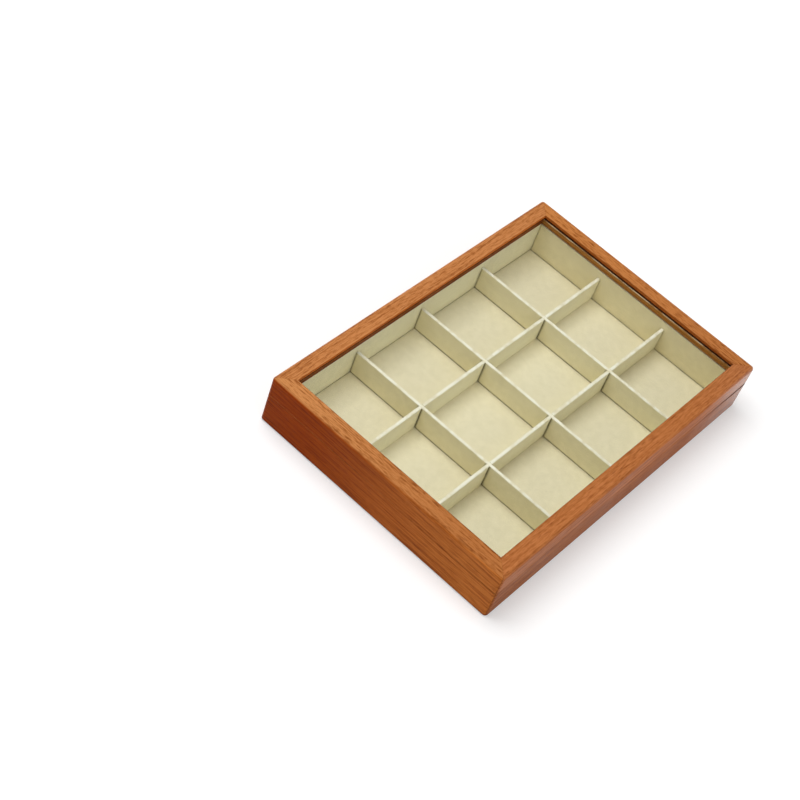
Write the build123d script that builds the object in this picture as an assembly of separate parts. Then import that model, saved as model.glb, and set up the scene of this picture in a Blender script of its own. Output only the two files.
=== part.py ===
from build123d import *
import os

# A glazed display tray: a mitred wooden base with a lined, divided inside,
# and a mitred wooden lid with a glass pane, hinged along the back.
# Millimetres. +X along the long side, the front faces -Y, +Z up.
# The origin is the middle of the underside.

# Overall sizes
LENGTH = 350.0
WIDTH = 240.0
BASE_HEIGHT = 30.0
LID_HEIGHT = 20.0
EDGE_ROUND = 3.0
FOOT_ROUND = 1.0
SEAM_EASE = 0.4
FIT = 0.2

# Base frame, bottom panel and the felt under it
BASE_WALL = 9.4
FELT_THICKNESS = 0.6
FELT_MARGIN = 2.5
PANEL_THICKNESS = 2.5
PANEL_SEAT = 4.4

# Lining boards and dividers, covered in microfibre
FLOOR_THICKNESS = 1.3
LINER_THICKNESS = 3.0
LINER_RISE = 6.0
LINER_ROUND = 0.8
DIVIDER_THICKNESS = 3.0
DIVIDER_DROP = 1.0
DIVIDER_ROUND = 0.8
DIVIDER_END_GAP = 0.3
COLUMNS = 4
ROWS = 3

# Lid frame and its glazing
RAIL_WIDTH = 14.5
LID_RELIEF = 0.4
LIP_THICKNESS = 2.6
LIP_EASE = 0.5
GASKET_THICKNESS = 2.2
GASKET_SETBACK = 0.4
GLASS_THICKNESS = 2.0
GLASS_PLAY = 0.4
GLASS_EASE = 0.3
BEAD_HEIGHT = 5.6
BEAD_SETBACK = 1.0
BEAD_EASE = 0.7

# Butt hinges: leaves let into the two back rails, knuckles behind them
HINGE_INSET = 70.0
HINGE_LENGTH = 30.0
LEAF_THICKNESS = 0.8
LEAF_DEPTH = 7.6
LEAF_GAP = 0.2
KNUCKLE_RADIUS = 2.0
KNUCKLE_STANDOFF = 0.2
MIDDLE_KNUCKLE = 10.0
KNUCKLE_GAP = 0.2
PIN_RADIUS = 0.8
PIN_CLEARANCE = 0.05
PIN_HEAD_RADIUS = 1.4
PIN_HEAD_THICKNESS = 0.6

# Countersunk wood screws, two to a leaf
SCREW_SPACING = 19.0
SCREW_LENGTH = 8.0
SCREW_RADIUS = 0.9
SCREW_HEAD_RADIUS = 1.7
SCREW_TIP = 1.5
SCREW_TIP_RADIUS = 0.2
SCREW_CLEARANCE = 0.05
SLOT_WIDTH = 0.45
SLOT_DEPTH = 0.35

# How far a cutting solid runs past the faces that it opens
CUT_OVER = 1.0
MITRE_OVER = 5.0

# Heights that follow from them
frame_bottom = FELT_THICKNESS
panel_top = frame_bottom + PANEL_THICKNESS
floor_top = panel_top + FLOOR_THICKNESS
divider_top = BASE_HEIGHT - DIVIDER_DROP
liner_top = BASE_HEIGHT + LINER_RISE
lid_top = BASE_HEIGHT + LID_HEIGHT
lip_bottom = lid_top - LIP_THICKNESS
glass_top = lip_bottom - GASKET_THICKNESS
glass_bottom = glass_top - GLASS_THICKNESS
bead_bottom = glass_bottom - BEAD_HEIGHT

# Widths that follow from them, each measured in from the outer face
lid_wall = BASE_WALL - LID_RELIEF
liner_outside = BASE_WALL + FIT
liner_face = liner_outside + LINER_THICKNESS
glass_edge = lid_wall + GLASS_PLAY
pin_y = WIDTH / 2 + KNUCKLE_STANDOFF + KNUCKLE_RADIUS
hinge_places = {"left": -LENGTH / 2 + HINGE_INSET, "right": LENGTH / 2 - HINGE_INSET}
mitre_reach = RAIL_WIDTH + MITRE_OVER


def block(inset, z_low, z_high):
    """The box that lies inset from the tray's outer faces, between two heights."""
    solid = Box(LENGTH - 2 * inset, WIDTH - 2 * inset, z_high - z_low)
    return Pos(0, 0, (z_low + z_high) / 2) * solid


def slab(x_range, y_range, z_range):
    """A box given by its two corners."""
    size = [high - low for low, high in (x_range, y_range, z_range)]
    middle = [(high + low) / 2 for low, high in (x_range, y_range, z_range)]
    return Pos(*middle) * Box(*size)


def level_edges(solid, height):
    """The edges of a solid that lie flat at one height."""
    return solid.edges().filter_by_position(Axis.Z, height - 1e-4, height + 1e-4)


def edges_within(solid, height, inset):
    """Those of the flat edges at one height that lie no further out than an inset line."""
    x_limit, y_limit = LENGTH / 2 - inset + FIT, WIDTH / 2 - inset + FIT
    return [edge for edge in level_edges(solid, height)
            if abs(edge.center().X) <= x_limit and abs(edge.center().Y) <= y_limit]


def mitred(ring):
    """Cuts a rectangular ring along its four mitres, into the rail of each side."""
    x_out, y_out = LENGTH / 2 + MITRE_OVER, WIDTH / 2 + MITRE_OVER
    x_in, y_in = LENGTH / 2 - mitre_reach, WIDTH / 2 - mitre_reach
    sectors = {
        "front": [(-x_out, -y_out), (x_out, -y_out), (x_in, -y_in), (-x_in, -y_in)],
        "back": [(x_out, y_out), (-x_out, y_out), (-x_in, y_in), (x_in, y_in)],
        "left": [(-x_out, y_out), (-x_out, -y_out), (-x_in, -y_in), (-x_in, y_in)],
        "right": [(x_out, -y_out), (x_out, y_out), (x_in, y_in), (x_in, -y_in)],
    }
    rails = {}
    for side, corners in sectors.items():
        outline = make_face(Polyline(*corners, close=True))
        rails[side] = ring & extrude(outline, amount=lid_top + MITRE_OVER)
    return rails


def base_rails():
    """The base frame: rounded outside, rabbeted below for the panel, let in for the leaves."""
    frame = block(0, frame_bottom, BASE_HEIGHT)
    frame = fillet(frame.edges().filter_by(Axis.Z), EDGE_ROUND)
    frame = fillet(level_edges(frame, frame_bottom), FOOT_ROUND)
    frame = fillet(level_edges(frame, BASE_HEIGHT), SEAM_EASE)
    frame -= block(BASE_WALL, frame_bottom - CUT_OVER, BASE_HEIGHT + CUT_OVER)
    frame -= block(BASE_WALL - PANEL_SEAT, frame_bottom - CUT_OVER, panel_top)
    rails = mitred(frame)
    for hinge_x in hinge_places.values():
        rails["back"] -= leaf_mortise(hinge_x, lid=False)
        rails["back"] -= screw_holes(hinge_x, lid=False)
    return rails


def lid_rails():
    """The lid frame: a wall that drops round the liners, and a lip over the glass."""
    frame = block(0, BASE_HEIGHT, lid_top)
    frame = fillet(frame.edges().filter_by(Axis.Z) + level_edges(frame, lid_top), EDGE_ROUND)
    frame = fillet(level_edges(frame, BASE_HEIGHT), SEAM_EASE)
    frame -= block(RAIL_WIDTH, BASE_HEIGHT - CUT_OVER, lid_top + CUT_OVER)
    frame = fillet(edges_within(frame, lid_top, RAIL_WIDTH), LIP_EASE)
    frame -= block(lid_wall, BASE_HEIGHT - CUT_OVER, lip_bottom)
    rails = mitred(frame)
    for hinge_x in hinge_places.values():
        rails["back"] -= leaf_mortise(hinge_x, lid=True)
        rails["back"] -= screw_holes(hinge_x, lid=True)
    return rails


def base_panel():
    """The thin bottom board, held in the rabbet of the base frame."""
    return block(BASE_WALL - PANEL_SEAT + FIT, frame_bottom, panel_top)


def base_felt():
    """The soft dark sheet glued under the base, a little short of its edges."""
    return block(FELT_MARGIN, 0, FELT_THICKNESS)


def floor_lining():
    """The covered board on the bottom panel, between the liners."""
    return block(liner_face + FIT, panel_top, floor_top)


def liners():
    """The four covered boards that line the walls and rise into the lid."""
    x_out, y_out = LENGTH / 2 - liner_outside, WIDTH / 2 - liner_outside
    x_in, y_in = LENGTH / 2 - liner_face, WIDTH / 2 - liner_face
    height = (panel_top, liner_top)
    boards = {
        "front": slab((-x_out, x_out), (-y_out, -y_in), height),
        "back": slab((-x_out, x_out), (y_in, y_out), height),
        "left": slab((-x_out, -x_in), (-y_in + FIT, y_in - FIT), height),
        "right": slab((x_in, x_out), (-y_in + FIT, y_in - FIT), height),
    }
    rounded = {}
    for side, board in boards.items():
        along = Axis.X if side in ("front", "back") else Axis.Y
        rounded[side] = fillet(level_edges(board, liner_top).filter_by(along), LINER_ROUND)
    return rounded


def cell_lines(clear_width, count):
    """Centre lines of the dividers that part a clear width into equal cells."""
    cell = (clear_width - (count - 1) * DIVIDER_THICKNESS) / count
    pitch = cell + DIVIDER_THICKNESS
    return [-clear_width / 2 + number * pitch - DIVIDER_THICKNESS / 2 for number in range(1, count)]


def divider(length, along):
    """A standing divider board through the middle of the tray, rounded along its top."""
    half = length / 2 - DIVIDER_END_GAP
    thick = DIVIDER_THICKNESS / 2
    x_range, y_range = ((-half, half), (-thick, thick))
    if along == Axis.Y:
        x_range, y_range = y_range, x_range
    board = slab(x_range, y_range, (floor_top, divider_top))
    return fillet(level_edges(board, divider_top).filter_by(along), DIVIDER_ROUND)


def dividers():
    """Long dividers notched from above, and short ones notched from below to straddle them."""
    clear_x, clear_y = LENGTH - 2 * liner_face, WIDTH - 2 * liner_face
    short_lines, long_lines = cell_lines(clear_x, COLUMNS), cell_lines(clear_y, ROWS)
    lap = (floor_top + divider_top) / 2
    notch = DIVIDER_THICKNESS / 2 + FIT / 2
    boards = {}
    for number, y in enumerate(long_lines, 1):
        board = Pos(0, y, 0) * divider(clear_x, Axis.X)
        for x in short_lines:
            z_range = (lap - FIT / 2, divider_top + CUT_OVER)
            board -= slab((x - notch, x + notch), (y - notch, y + notch), z_range)
        boards[f"long_divider_{number}"] = board
    for number, x in enumerate(short_lines, 1):
        board = Pos(x, 0, 0) * divider(clear_y, Axis.Y)
        for y in long_lines:
            z_range = (floor_top - CUT_OVER, lap + FIT / 2)
            board -= slab((x - notch, x + notch), (y - notch, y + notch), z_range)
        boards[f"short_divider_{number}"] = board
    return boards


def glass_pane():
    """The pane, held up under the lip, its long arrises taken off."""
    pane = block(glass_edge, glass_bottom, glass_top)
    return chamfer(level_edges(pane, glass_top) + level_edges(pane, glass_bottom), GLASS_EASE)


def gasket_strips():
    """Four flat dark strips between the lip and the glass."""
    inset = RAIL_WIDTH - GASKET_SETBACK
    x_out, y_out = LENGTH / 2 - glass_edge, WIDTH / 2 - glass_edge
    x_in, y_in = LENGTH / 2 - inset, WIDTH / 2 - inset
    height = (glass_top, lip_bottom)
    return {
        "front": slab((-x_out, x_out), (-y_out, -y_in), height),
        "back": slab((-x_out, x_out), (y_in, y_out), height),
        "left": slab((-x_out, -x_in), (-y_in, y_in), height),
        "right": slab((x_in, x_out), (-y_in, y_in), height),
    }


def glazing_beads():
    """Four mitred beads that hold the glass up, set a little back from the window's edge."""
    inset = RAIL_WIDTH - BEAD_SETBACK
    ring = block(lid_wall, bead_bottom, glass_bottom)
    ring -= block(inset, bead_bottom - CUT_OVER, glass_bottom + CUT_OVER)
    arrises = edges_within(ring, glass_bottom, inset) + edges_within(ring, bead_bottom, inset)
    return mitred(fillet(arrises, BEAD_EASE))


def leaf_heights(lid):
    """Lower and upper face of a leaf, each half the gap away from the seam."""
    if lid:
        return BASE_HEIGHT + LEAF_GAP / 2, BASE_HEIGHT + LEAF_GAP / 2 + LEAF_THICKNESS
    return BASE_HEIGHT - LEAF_GAP / 2 - LEAF_THICKNESS, BASE_HEIGHT - LEAF_GAP / 2


def leaf_mortise(hinge_x, lid):
    """The shallow seat cut for a leaf, open to the seam and to the back."""
    low, high = leaf_heights(lid)
    z_range = (BASE_HEIGHT - CUT_OVER, high) if lid else (low, BASE_HEIGHT + CUT_OVER)
    half = HINGE_LENGTH / 2 + FIT
    y_range = (WIDTH / 2 - LEAF_DEPTH - FIT, WIDTH / 2 + CUT_OVER)
    return slab((hinge_x - half, hinge_x + half), y_range, z_range)


def screw_places(hinge_x):
    """Where the two screws of a leaf stand."""
    y = WIDTH / 2 - LEAF_DEPTH / 2
    return [(hinge_x + side * SCREW_SPACING / 2, y) for side in (-1, 1)]


def screw(lid, clearance=0.0):
    """A countersunk screw with its head flush in the leaf, or the hole it leaves."""
    low, high = leaf_heights(lid)
    face = low if lid else high
    inward = 1 if lid else -1
    neck = SCREW_RADIUS + clearance
    head_end = face + inward * (SCREW_HEAD_RADIUS - SCREW_RADIUS)
    outline = [
        (0, face),
        (SCREW_HEAD_RADIUS + clearance, face),
        (neck, head_end),
        (neck, face + inward * (SCREW_LENGTH - SCREW_TIP)),
        (SCREW_TIP_RADIUS + clearance, face + inward * (SCREW_LENGTH + clearance)),
        (0, face + inward * (SCREW_LENGTH + clearance)),
    ]
    section = make_face(Plane.XZ * Polyline(*outline, close=True))
    solid = revolve(section, Axis.Z)
    if clearance == 0:
        slot_end = face + inward * SLOT_DEPTH
        z_range = (min(face, slot_end), max(face, slot_end))
        reach = SCREW_HEAD_RADIUS + CUT_OVER
        solid -= slab((-reach, reach), (-SLOT_WIDTH / 2, SLOT_WIDTH / 2), z_range)
    return solid


def screw_holes(hinge_x, lid):
    """The holes of one leaf's two screws."""
    return [Pos(x, y, 0) * screw(lid, SCREW_CLEARANCE) for x, y in screw_places(hinge_x)]


def hinge_leaf(hinge_x, lid):
    """One leaf with its knuckles: the lid's has the middle one, the base's the two outer."""
    low, high = leaf_heights(lid)
    middle = MIDDLE_KNUCKLE / 2
    outer = HINGE_LENGTH / 2
    if lid:
        spans = [(-middle + KNUCKLE_GAP / 2, middle - KNUCKLE_GAP / 2)]
    else:
        spans = [(-outer, -middle - KNUCKLE_GAP / 2), (middle + KNUCKLE_GAP / 2, outer)]
    y_low = WIDTH / 2 - LEAF_DEPTH
    plate_end = WIDTH / 2 - KNUCKLE_STANDOFF / 2
    leaf = slab((hinge_x - outer, hinge_x + outer), (y_low, plate_end), (low, high))
    for start, stop in spans:
        length = stop - start
        centre = hinge_x + (start + stop) / 2
        tongue = slab((hinge_x + start, hinge_x + stop), (y_low, pin_y), (low, high))
        on_axis = Pos(centre, pin_y, BASE_HEIGHT) * Rot(0, 90, 0)
        barrel = on_axis * Cylinder(KNUCKLE_RADIUS, length)
        bore = on_axis * Cylinder(PIN_RADIUS + PIN_CLEARANCE, length + CUT_OVER)
        leaf = leaf + tongue + barrel - bore
    for hole in screw_holes(hinge_x, lid):
        leaf -= hole
    return leaf


def hinge_pin(hinge_x):
    """The pin through the knuckles, with a low head at each end."""
    pin = Cylinder(PIN_RADIUS, HINGE_LENGTH + 2 * PIN_HEAD_THICKNESS)
    for side in (-1, 1):
        place = side * (HINGE_LENGTH + PIN_HEAD_THICKNESS) / 2
        pin += Pos(0, 0, place) * Cylinder(PIN_HEAD_RADIUS, PIN_HEAD_THICKNESS)
    return Pos(hinge_x, pin_y, BASE_HEIGHT) * Rot(0, 90, 0) * pin


def hinge_screws(lid):
    """All the screws of one leaf of each hinge, as separate solids."""
    places = [place for hinge_x in hinge_places.values() for place in screw_places(hinge_x)]
    return Compound(children=[Pos(x, y, 0) * screw(lid) for x, y in places])


def tray_nodes():
    """Every sub-part of the tray, by its name."""
    nodes = {}
    nodes.update({f"base_{side}_rail": rail for side, rail in base_rails().items()})
    nodes["base_panel"] = base_panel()
    nodes["base_felt"] = base_felt()
    nodes["floor_lining"] = floor_lining()
    nodes.update({f"liner_{side}": board for side, board in liners().items()})
    nodes.update(dividers())
    nodes.update({f"lid_{side}_rail": rail for side, rail in lid_rails().items()})
    nodes.update({f"gasket_{side}": strip for side, strip in gasket_strips().items()})
    nodes["glass_pane"] = glass_pane()
    nodes.update({f"glazing_bead_{side}": bead for side, bead in glazing_beads().items()})
    for name, hinge_x in hinge_places.items():
        nodes[f"hinge_{name}_base_leaf"] = hinge_leaf(hinge_x, lid=False)
        nodes[f"hinge_{name}_lid_leaf"] = hinge_leaf(hinge_x, lid=True)
        nodes[f"hinge_{name}_pin"] = hinge_pin(hinge_x)
    nodes["base_hinge_screws"] = hinge_screws(lid=False)
    nodes["lid_hinge_screws"] = hinge_screws(lid=True)
    return nodes


os.makedirs("parts", exist_ok=True)
for node, shape in tray_nodes().items():
    export_step(shape, f"parts/{node}.step")
    print(node, round(shape.volume, 1))
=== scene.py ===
"""A glazed display tray, its inside lined and divided into cells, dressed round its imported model.

Everything is in metres in the model's own frame: +X along the long side, the front faces -Y, +Z up,
and the origin is the middle of the underside.
"""

import logging
import math
from dataclasses import dataclass, field
from enum import Enum
from typing import Sequence

import bmesh
import bpy
import numpy as np
from mathutils import Matrix, Vector


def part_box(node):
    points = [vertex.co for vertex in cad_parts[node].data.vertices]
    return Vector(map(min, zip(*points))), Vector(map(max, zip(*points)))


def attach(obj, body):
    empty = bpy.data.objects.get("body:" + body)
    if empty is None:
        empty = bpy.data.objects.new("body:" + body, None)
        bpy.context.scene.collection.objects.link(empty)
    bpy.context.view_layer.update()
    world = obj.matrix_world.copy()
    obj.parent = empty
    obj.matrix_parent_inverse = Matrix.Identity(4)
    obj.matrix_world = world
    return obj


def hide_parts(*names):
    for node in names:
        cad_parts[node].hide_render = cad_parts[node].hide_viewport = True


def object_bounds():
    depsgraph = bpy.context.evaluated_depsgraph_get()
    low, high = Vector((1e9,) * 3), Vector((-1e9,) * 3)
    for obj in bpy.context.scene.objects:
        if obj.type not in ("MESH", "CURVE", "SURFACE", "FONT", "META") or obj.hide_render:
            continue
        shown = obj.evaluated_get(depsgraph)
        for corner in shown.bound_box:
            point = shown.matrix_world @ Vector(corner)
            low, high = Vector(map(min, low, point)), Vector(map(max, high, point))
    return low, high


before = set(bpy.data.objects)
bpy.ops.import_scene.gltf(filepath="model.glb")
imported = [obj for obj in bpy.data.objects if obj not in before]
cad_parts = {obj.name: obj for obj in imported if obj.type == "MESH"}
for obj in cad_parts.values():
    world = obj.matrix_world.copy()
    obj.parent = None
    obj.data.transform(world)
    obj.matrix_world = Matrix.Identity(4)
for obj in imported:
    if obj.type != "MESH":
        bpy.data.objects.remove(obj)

CAD_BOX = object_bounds()
LOG = logging.getLogger("display_tray")

Array = np.ndarray
Socket = bpy.types.NodeSocket
Colour = tuple[float, float, float, float]
Pair = tuple[float, float]
Triple = tuple[float, float, float]

MM = 0.001
WELD = 1e-7
SHARP_ANGLE = math.radians(38)
SHOULDER = 0.25 * MM
SHOULDER_SHARE = 0.2
SWELL_SPAN = (0.15, 0.85)
ARC_STEPS = 6
RAIL_STATIONS = 25
FAR = 1.0
EDGE = "edge"
INNER_SHADE = "inner"
WHITE: Colour = (1.0, 1.0, 1.0, 1.0)


def paint(red: int, green: int, blue: int) -> Colour:
    """Turns a colour as the eye names it into the linear one that a shader takes.

    Args:
        red: The red channel, 0 to 255.
        green: The green channel.
        blue: The blue channel.

    Returns:
        The linear colour, opaque.
    """
    seen = np.array([red, green, blue]) / 255
    linear = np.where(seen <= 0.04045, seen / 12.92, ((seen + 0.055) / 1.055) ** 2.4)
    return (*linear.tolist(), 1.0)


class Body(Enum):
    """The two bodies of the tray."""

    BASE = "base"
    LID = "lid"


class Side(Enum):
    """One side of the tray, as the quarter turns that carry the front side onto it."""

    FRONT = 0
    RIGHT = 1
    BACK = 2
    LEFT = 3

    @property
    def label(self) -> str:
        """The side's word in the names of nodes."""
        return self.name.lower()

    @property
    def lengthways(self) -> bool:
        """True if the side runs along X."""
        return self in (Side.FRONT, Side.BACK)

    def stand(self, along: Array, depth: Array, up: Array, half: Pair) -> Array:
        """Stands points of a side in their place on the tray.

        The front side maps (along, depth, up) to (along, depth - half_y, up); the others are that,
        turned about Z by their quarter turns, with the half sizes swapped where X and Y are.

        Args:
            along: Places along the side, from its middle.
            depth: How far in from the outer face.
            up: Heights.
            half: Half of the frame's outer size along X and along Y.

        Returns:
            The points, with X, Y and Z in the last axis.
        """
        out = half[1] if self.lengthways else half[0]
        x, y = along, depth - out
        turned = ((x, y), (-y, x), (-x, -y), (y, -x))[self.value]
        return np.stack(np.broadcast_arrays(*turned, up), axis=-1)


@dataclass(frozen=True)
class Corner:
    """A corner of a profile: its place, its rounding, and the marks that its surface carries.

    edge runs from 1, worn pale and painted bright, to -1, where dirt and painted shade gather. It swells
    to the middle of the rounding, fill is the least share of it on the whole rounding, and spill the share
    that is left on the faces beside it, where it fades over the shoulder. The last number tells how far
    the face that leaves the corner is painted with the shade that falls on it inside the window.
    """

    across: float
    up: float
    ease: float
    edge: float = 0.0
    fill: float = 0.0
    spill: float = 0.0
    shoulder: float = SHOULDER
    inner: float = 0.0


@dataclass(frozen=True)
class Outline:
    """A closed profile: each point's place across and up, and its marks."""

    across: Array
    up: Array
    edge: Array
    inner: Array

    @classmethod
    def eased(cls, corners: Sequence[Corner]) -> "Outline":
        """Rounds the corners of a closed polygon.

        A corner p whose legs lie along the unit vectors a and b, half an angle h apart, becomes the
        arc about c = p + r / sin(h) * (a + b) / |a + b| that runs from p + r / tan(h) * a to
        p + r / tan(h) * b by spherical interpolation. A shoulder point follows on each leg, so that
        the flats stay flat in the shading.

        Args:
            corners: The polygon's corners, in order round it.

        Returns:
            The outline, with as many points for each corner.
        """
        p = np.array([(corner.across, corner.up) for corner in corners])
        ease, edge, fill, spill, fade, leaving = np.array([
            (corner.ease, corner.edge, corner.fill, corner.spill, corner.shoulder, corner.inner)
            for corner in corners
        ]).T[:, :, None]
        radius = np.maximum(ease, WELD)
        legs = np.stack([np.roll(p, 1, axis=0) - p, np.roll(p, -1, axis=0) - p])
        length = np.linalg.norm(legs, axis=2, keepdims=True)
        a, b = legs / length
        half = np.arccos(np.clip((a * b).sum(1), -1, 1))[:, None] / 2
        middle = (a + b) / np.linalg.norm(a + b, axis=1, keepdims=True)
        centre = p + radius / np.sin(half) * middle
        tangent = radius / np.tan(half)
        start, end = p + tangent * a - centre, p + tangent * b - centre
        sweep = math.pi - 2 * half
        step = np.linspace(0, 1, ARC_STEPS + 1)[:, None, None]
        arc = centre + (np.sin(sweep * (1 - step)) * start + np.sin(sweep * step) * end) / np.sin(sweep)
        shoulder = np.minimum(fade, SHOULDER_SHARE * length)
        before = p + (tangent + shoulder[0]) * a
        after = p + (tangent + shoulder[1]) * b
        points = np.concatenate([before[None], arc, after[None]]).transpose(1, 0, 2).reshape(-1, 2)
        swell = np.concatenate([[0], np.sin(math.pi * np.clip(step[:, 0, 0], *SWELL_SPAN)), [0]])
        rounding = np.pad(np.ones(ARC_STEPS + 1), 1)
        swell = np.maximum(np.maximum(swell, fill * rounding), spill)
        share = np.concatenate([[0], step[:, 0, 0], [1]])
        inner = np.roll(leaving, 1, axis=0) * (1 - share) + leaving * share
        return cls(points[:, 0], points[:, 1], (edge * swell).reshape(-1), inner.reshape(-1))


@dataclass(frozen=True)
class Piece:
    """One finished piece: its name, what it rides on, stands for and is finished in."""

    name: str
    body: Body
    slot: str
    replaces: tuple[str, ...]

    def make(self, grid: Array, marks: dict[str, Array], finish: bpy.types.Material) -> bpy.types.Object:
        """Turns a grid of points into a closed piece in its place.

        The grid's columns run round a closed outline and its rows along a path, and points that
        coincide become one vertex.

        Args:
            grid: Points as rows by columns by 3.
            marks: The marks of each point, by name, as rows by columns.
            finish: The piece's material.

        Returns:
            The piece's object.
        """
        points = grid.reshape(-1, 3)
        keys = np.round(points / WELD).astype(np.int64)
        _, first, index = np.unique(keys, axis=0, return_index=True, return_inverse=True)
        mesh = bpy.data.meshes.new(self.name)
        mesh.from_pydata(points[first].tolist(), [], self.faces(index.reshape(grid.shape[:2])))
        for mark, values in marks.items():
            mask = mesh.attributes.new(mark, "FLOAT", "POINT")
            mask.data.foreach_set("value", values.reshape(-1)[first].astype(np.float32))
        self.face_outwards(mesh)
        mesh.polygons.foreach_set("use_smooth", np.ones(len(mesh.polygons), bool))
        mesh.set_sharp_from_angle(angle=SHARP_ANGLE)
        mesh.materials.append(finish)
        piece = place_object(self.name, mesh)
        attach(piece, self.body.value)
        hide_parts(*self.replaces)
        LOG.info("%s: %d faces, rides on %s", self.name, len(mesh.polygons), self.body.value)
        return piece

    @staticmethod
    def faces(index: Array) -> list[list[int]]:
        """The faces that close a grid of vertices.

        A quad that loses a corner to a weld becomes a triangle, one that loses two goes, and the first
        and last rows are closed by a face each.

        Args:
            index: Each point's vertex, as rows by columns.

        Returns:
            The faces, as lists of vertices.
        """
        beside = np.roll(index, -1, axis=1)
        quads = np.stack([index[:-1], beside[:-1], beside[1:], index[1:]], axis=-1).reshape(-1, 4)
        same = quads == np.roll(quads, -1, axis=1)
        crossed = (quads[:, 0] == quads[:, 2]) | (quads[:, 1] == quads[:, 3])
        whole = quads[(same.sum(1) == 0) & ~crossed]
        cut = (same.sum(1) == 1) & ~crossed
        three = (same[cut].argmax(1)[:, None] + np.arange(1, 4)) % 4
        corners = np.take_along_axis(quads[cut], three, axis=1)
        rings = [row[row != np.roll(row, 1)] for row in (index[0], index[-1])]
        return whole.tolist() + corners.tolist() + [ring.tolist() for ring in rings]

    @staticmethod
    def face_outwards(mesh: bpy.types.Mesh) -> None:
        """Turns every face of a closed mesh outwards, so that the volume it encloses is positive.

        Args:
            mesh: The mesh.
        """
        shell = bmesh.new()
        shell.from_mesh(mesh)
        bmesh.ops.recalc_face_normals(shell, faces=shell.faces)
        if shell.calc_volume(signed=True) < 0:
            bmesh.ops.reverse_faces(shell, faces=shell.faces)
        shell.to_mesh(mesh)
        shell.free()


def place_object(name: str, data: bpy.types.ID) -> bpy.types.Object:
    """Makes an object and puts it into the scene.

    Args:
        name: Its name.
        data: Its mesh, lamp or camera.

    Returns:
        The object.
    """
    placed = bpy.data.objects.new(name, data)
    bpy.context.scene.collection.objects.link(placed)
    return placed


def dress(node: str, finish: bpy.types.Material) -> None:
    """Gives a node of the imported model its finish, and leaves its shape alone.

    Args:
        node: The node's name.
        finish: Its material.
    """
    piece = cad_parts[node]
    piece.data.materials.clear()
    piece.data.materials.append(finish)
    LOG.info("%s: kept from the model", node)


def corners_of(node: str) -> tuple[Array, Array]:
    """The lowest and the highest corner of a node."""
    low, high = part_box(node)
    return np.array(low), np.array(high)


class Maths(Enum):
    """The sums that a shader does on numbers."""

    ADD = "ADD"
    SUBTRACT = "SUBTRACT"
    MULTIPLY = "MULTIPLY"
    DIVIDE = "DIVIDE"
    POWER = "POWER"
    ROOT = "SQRT"
    LARGER = "MAXIMUM"
    SIZE = "ABSOLUTE"
    FRACTION = "FRACT"
    WHOLE = "FLOOR"


class Blend(Enum):
    """The ways in which a colour goes over another."""

    COVER = "MIX"
    DARKEN = "MULTIPLY"


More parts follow.
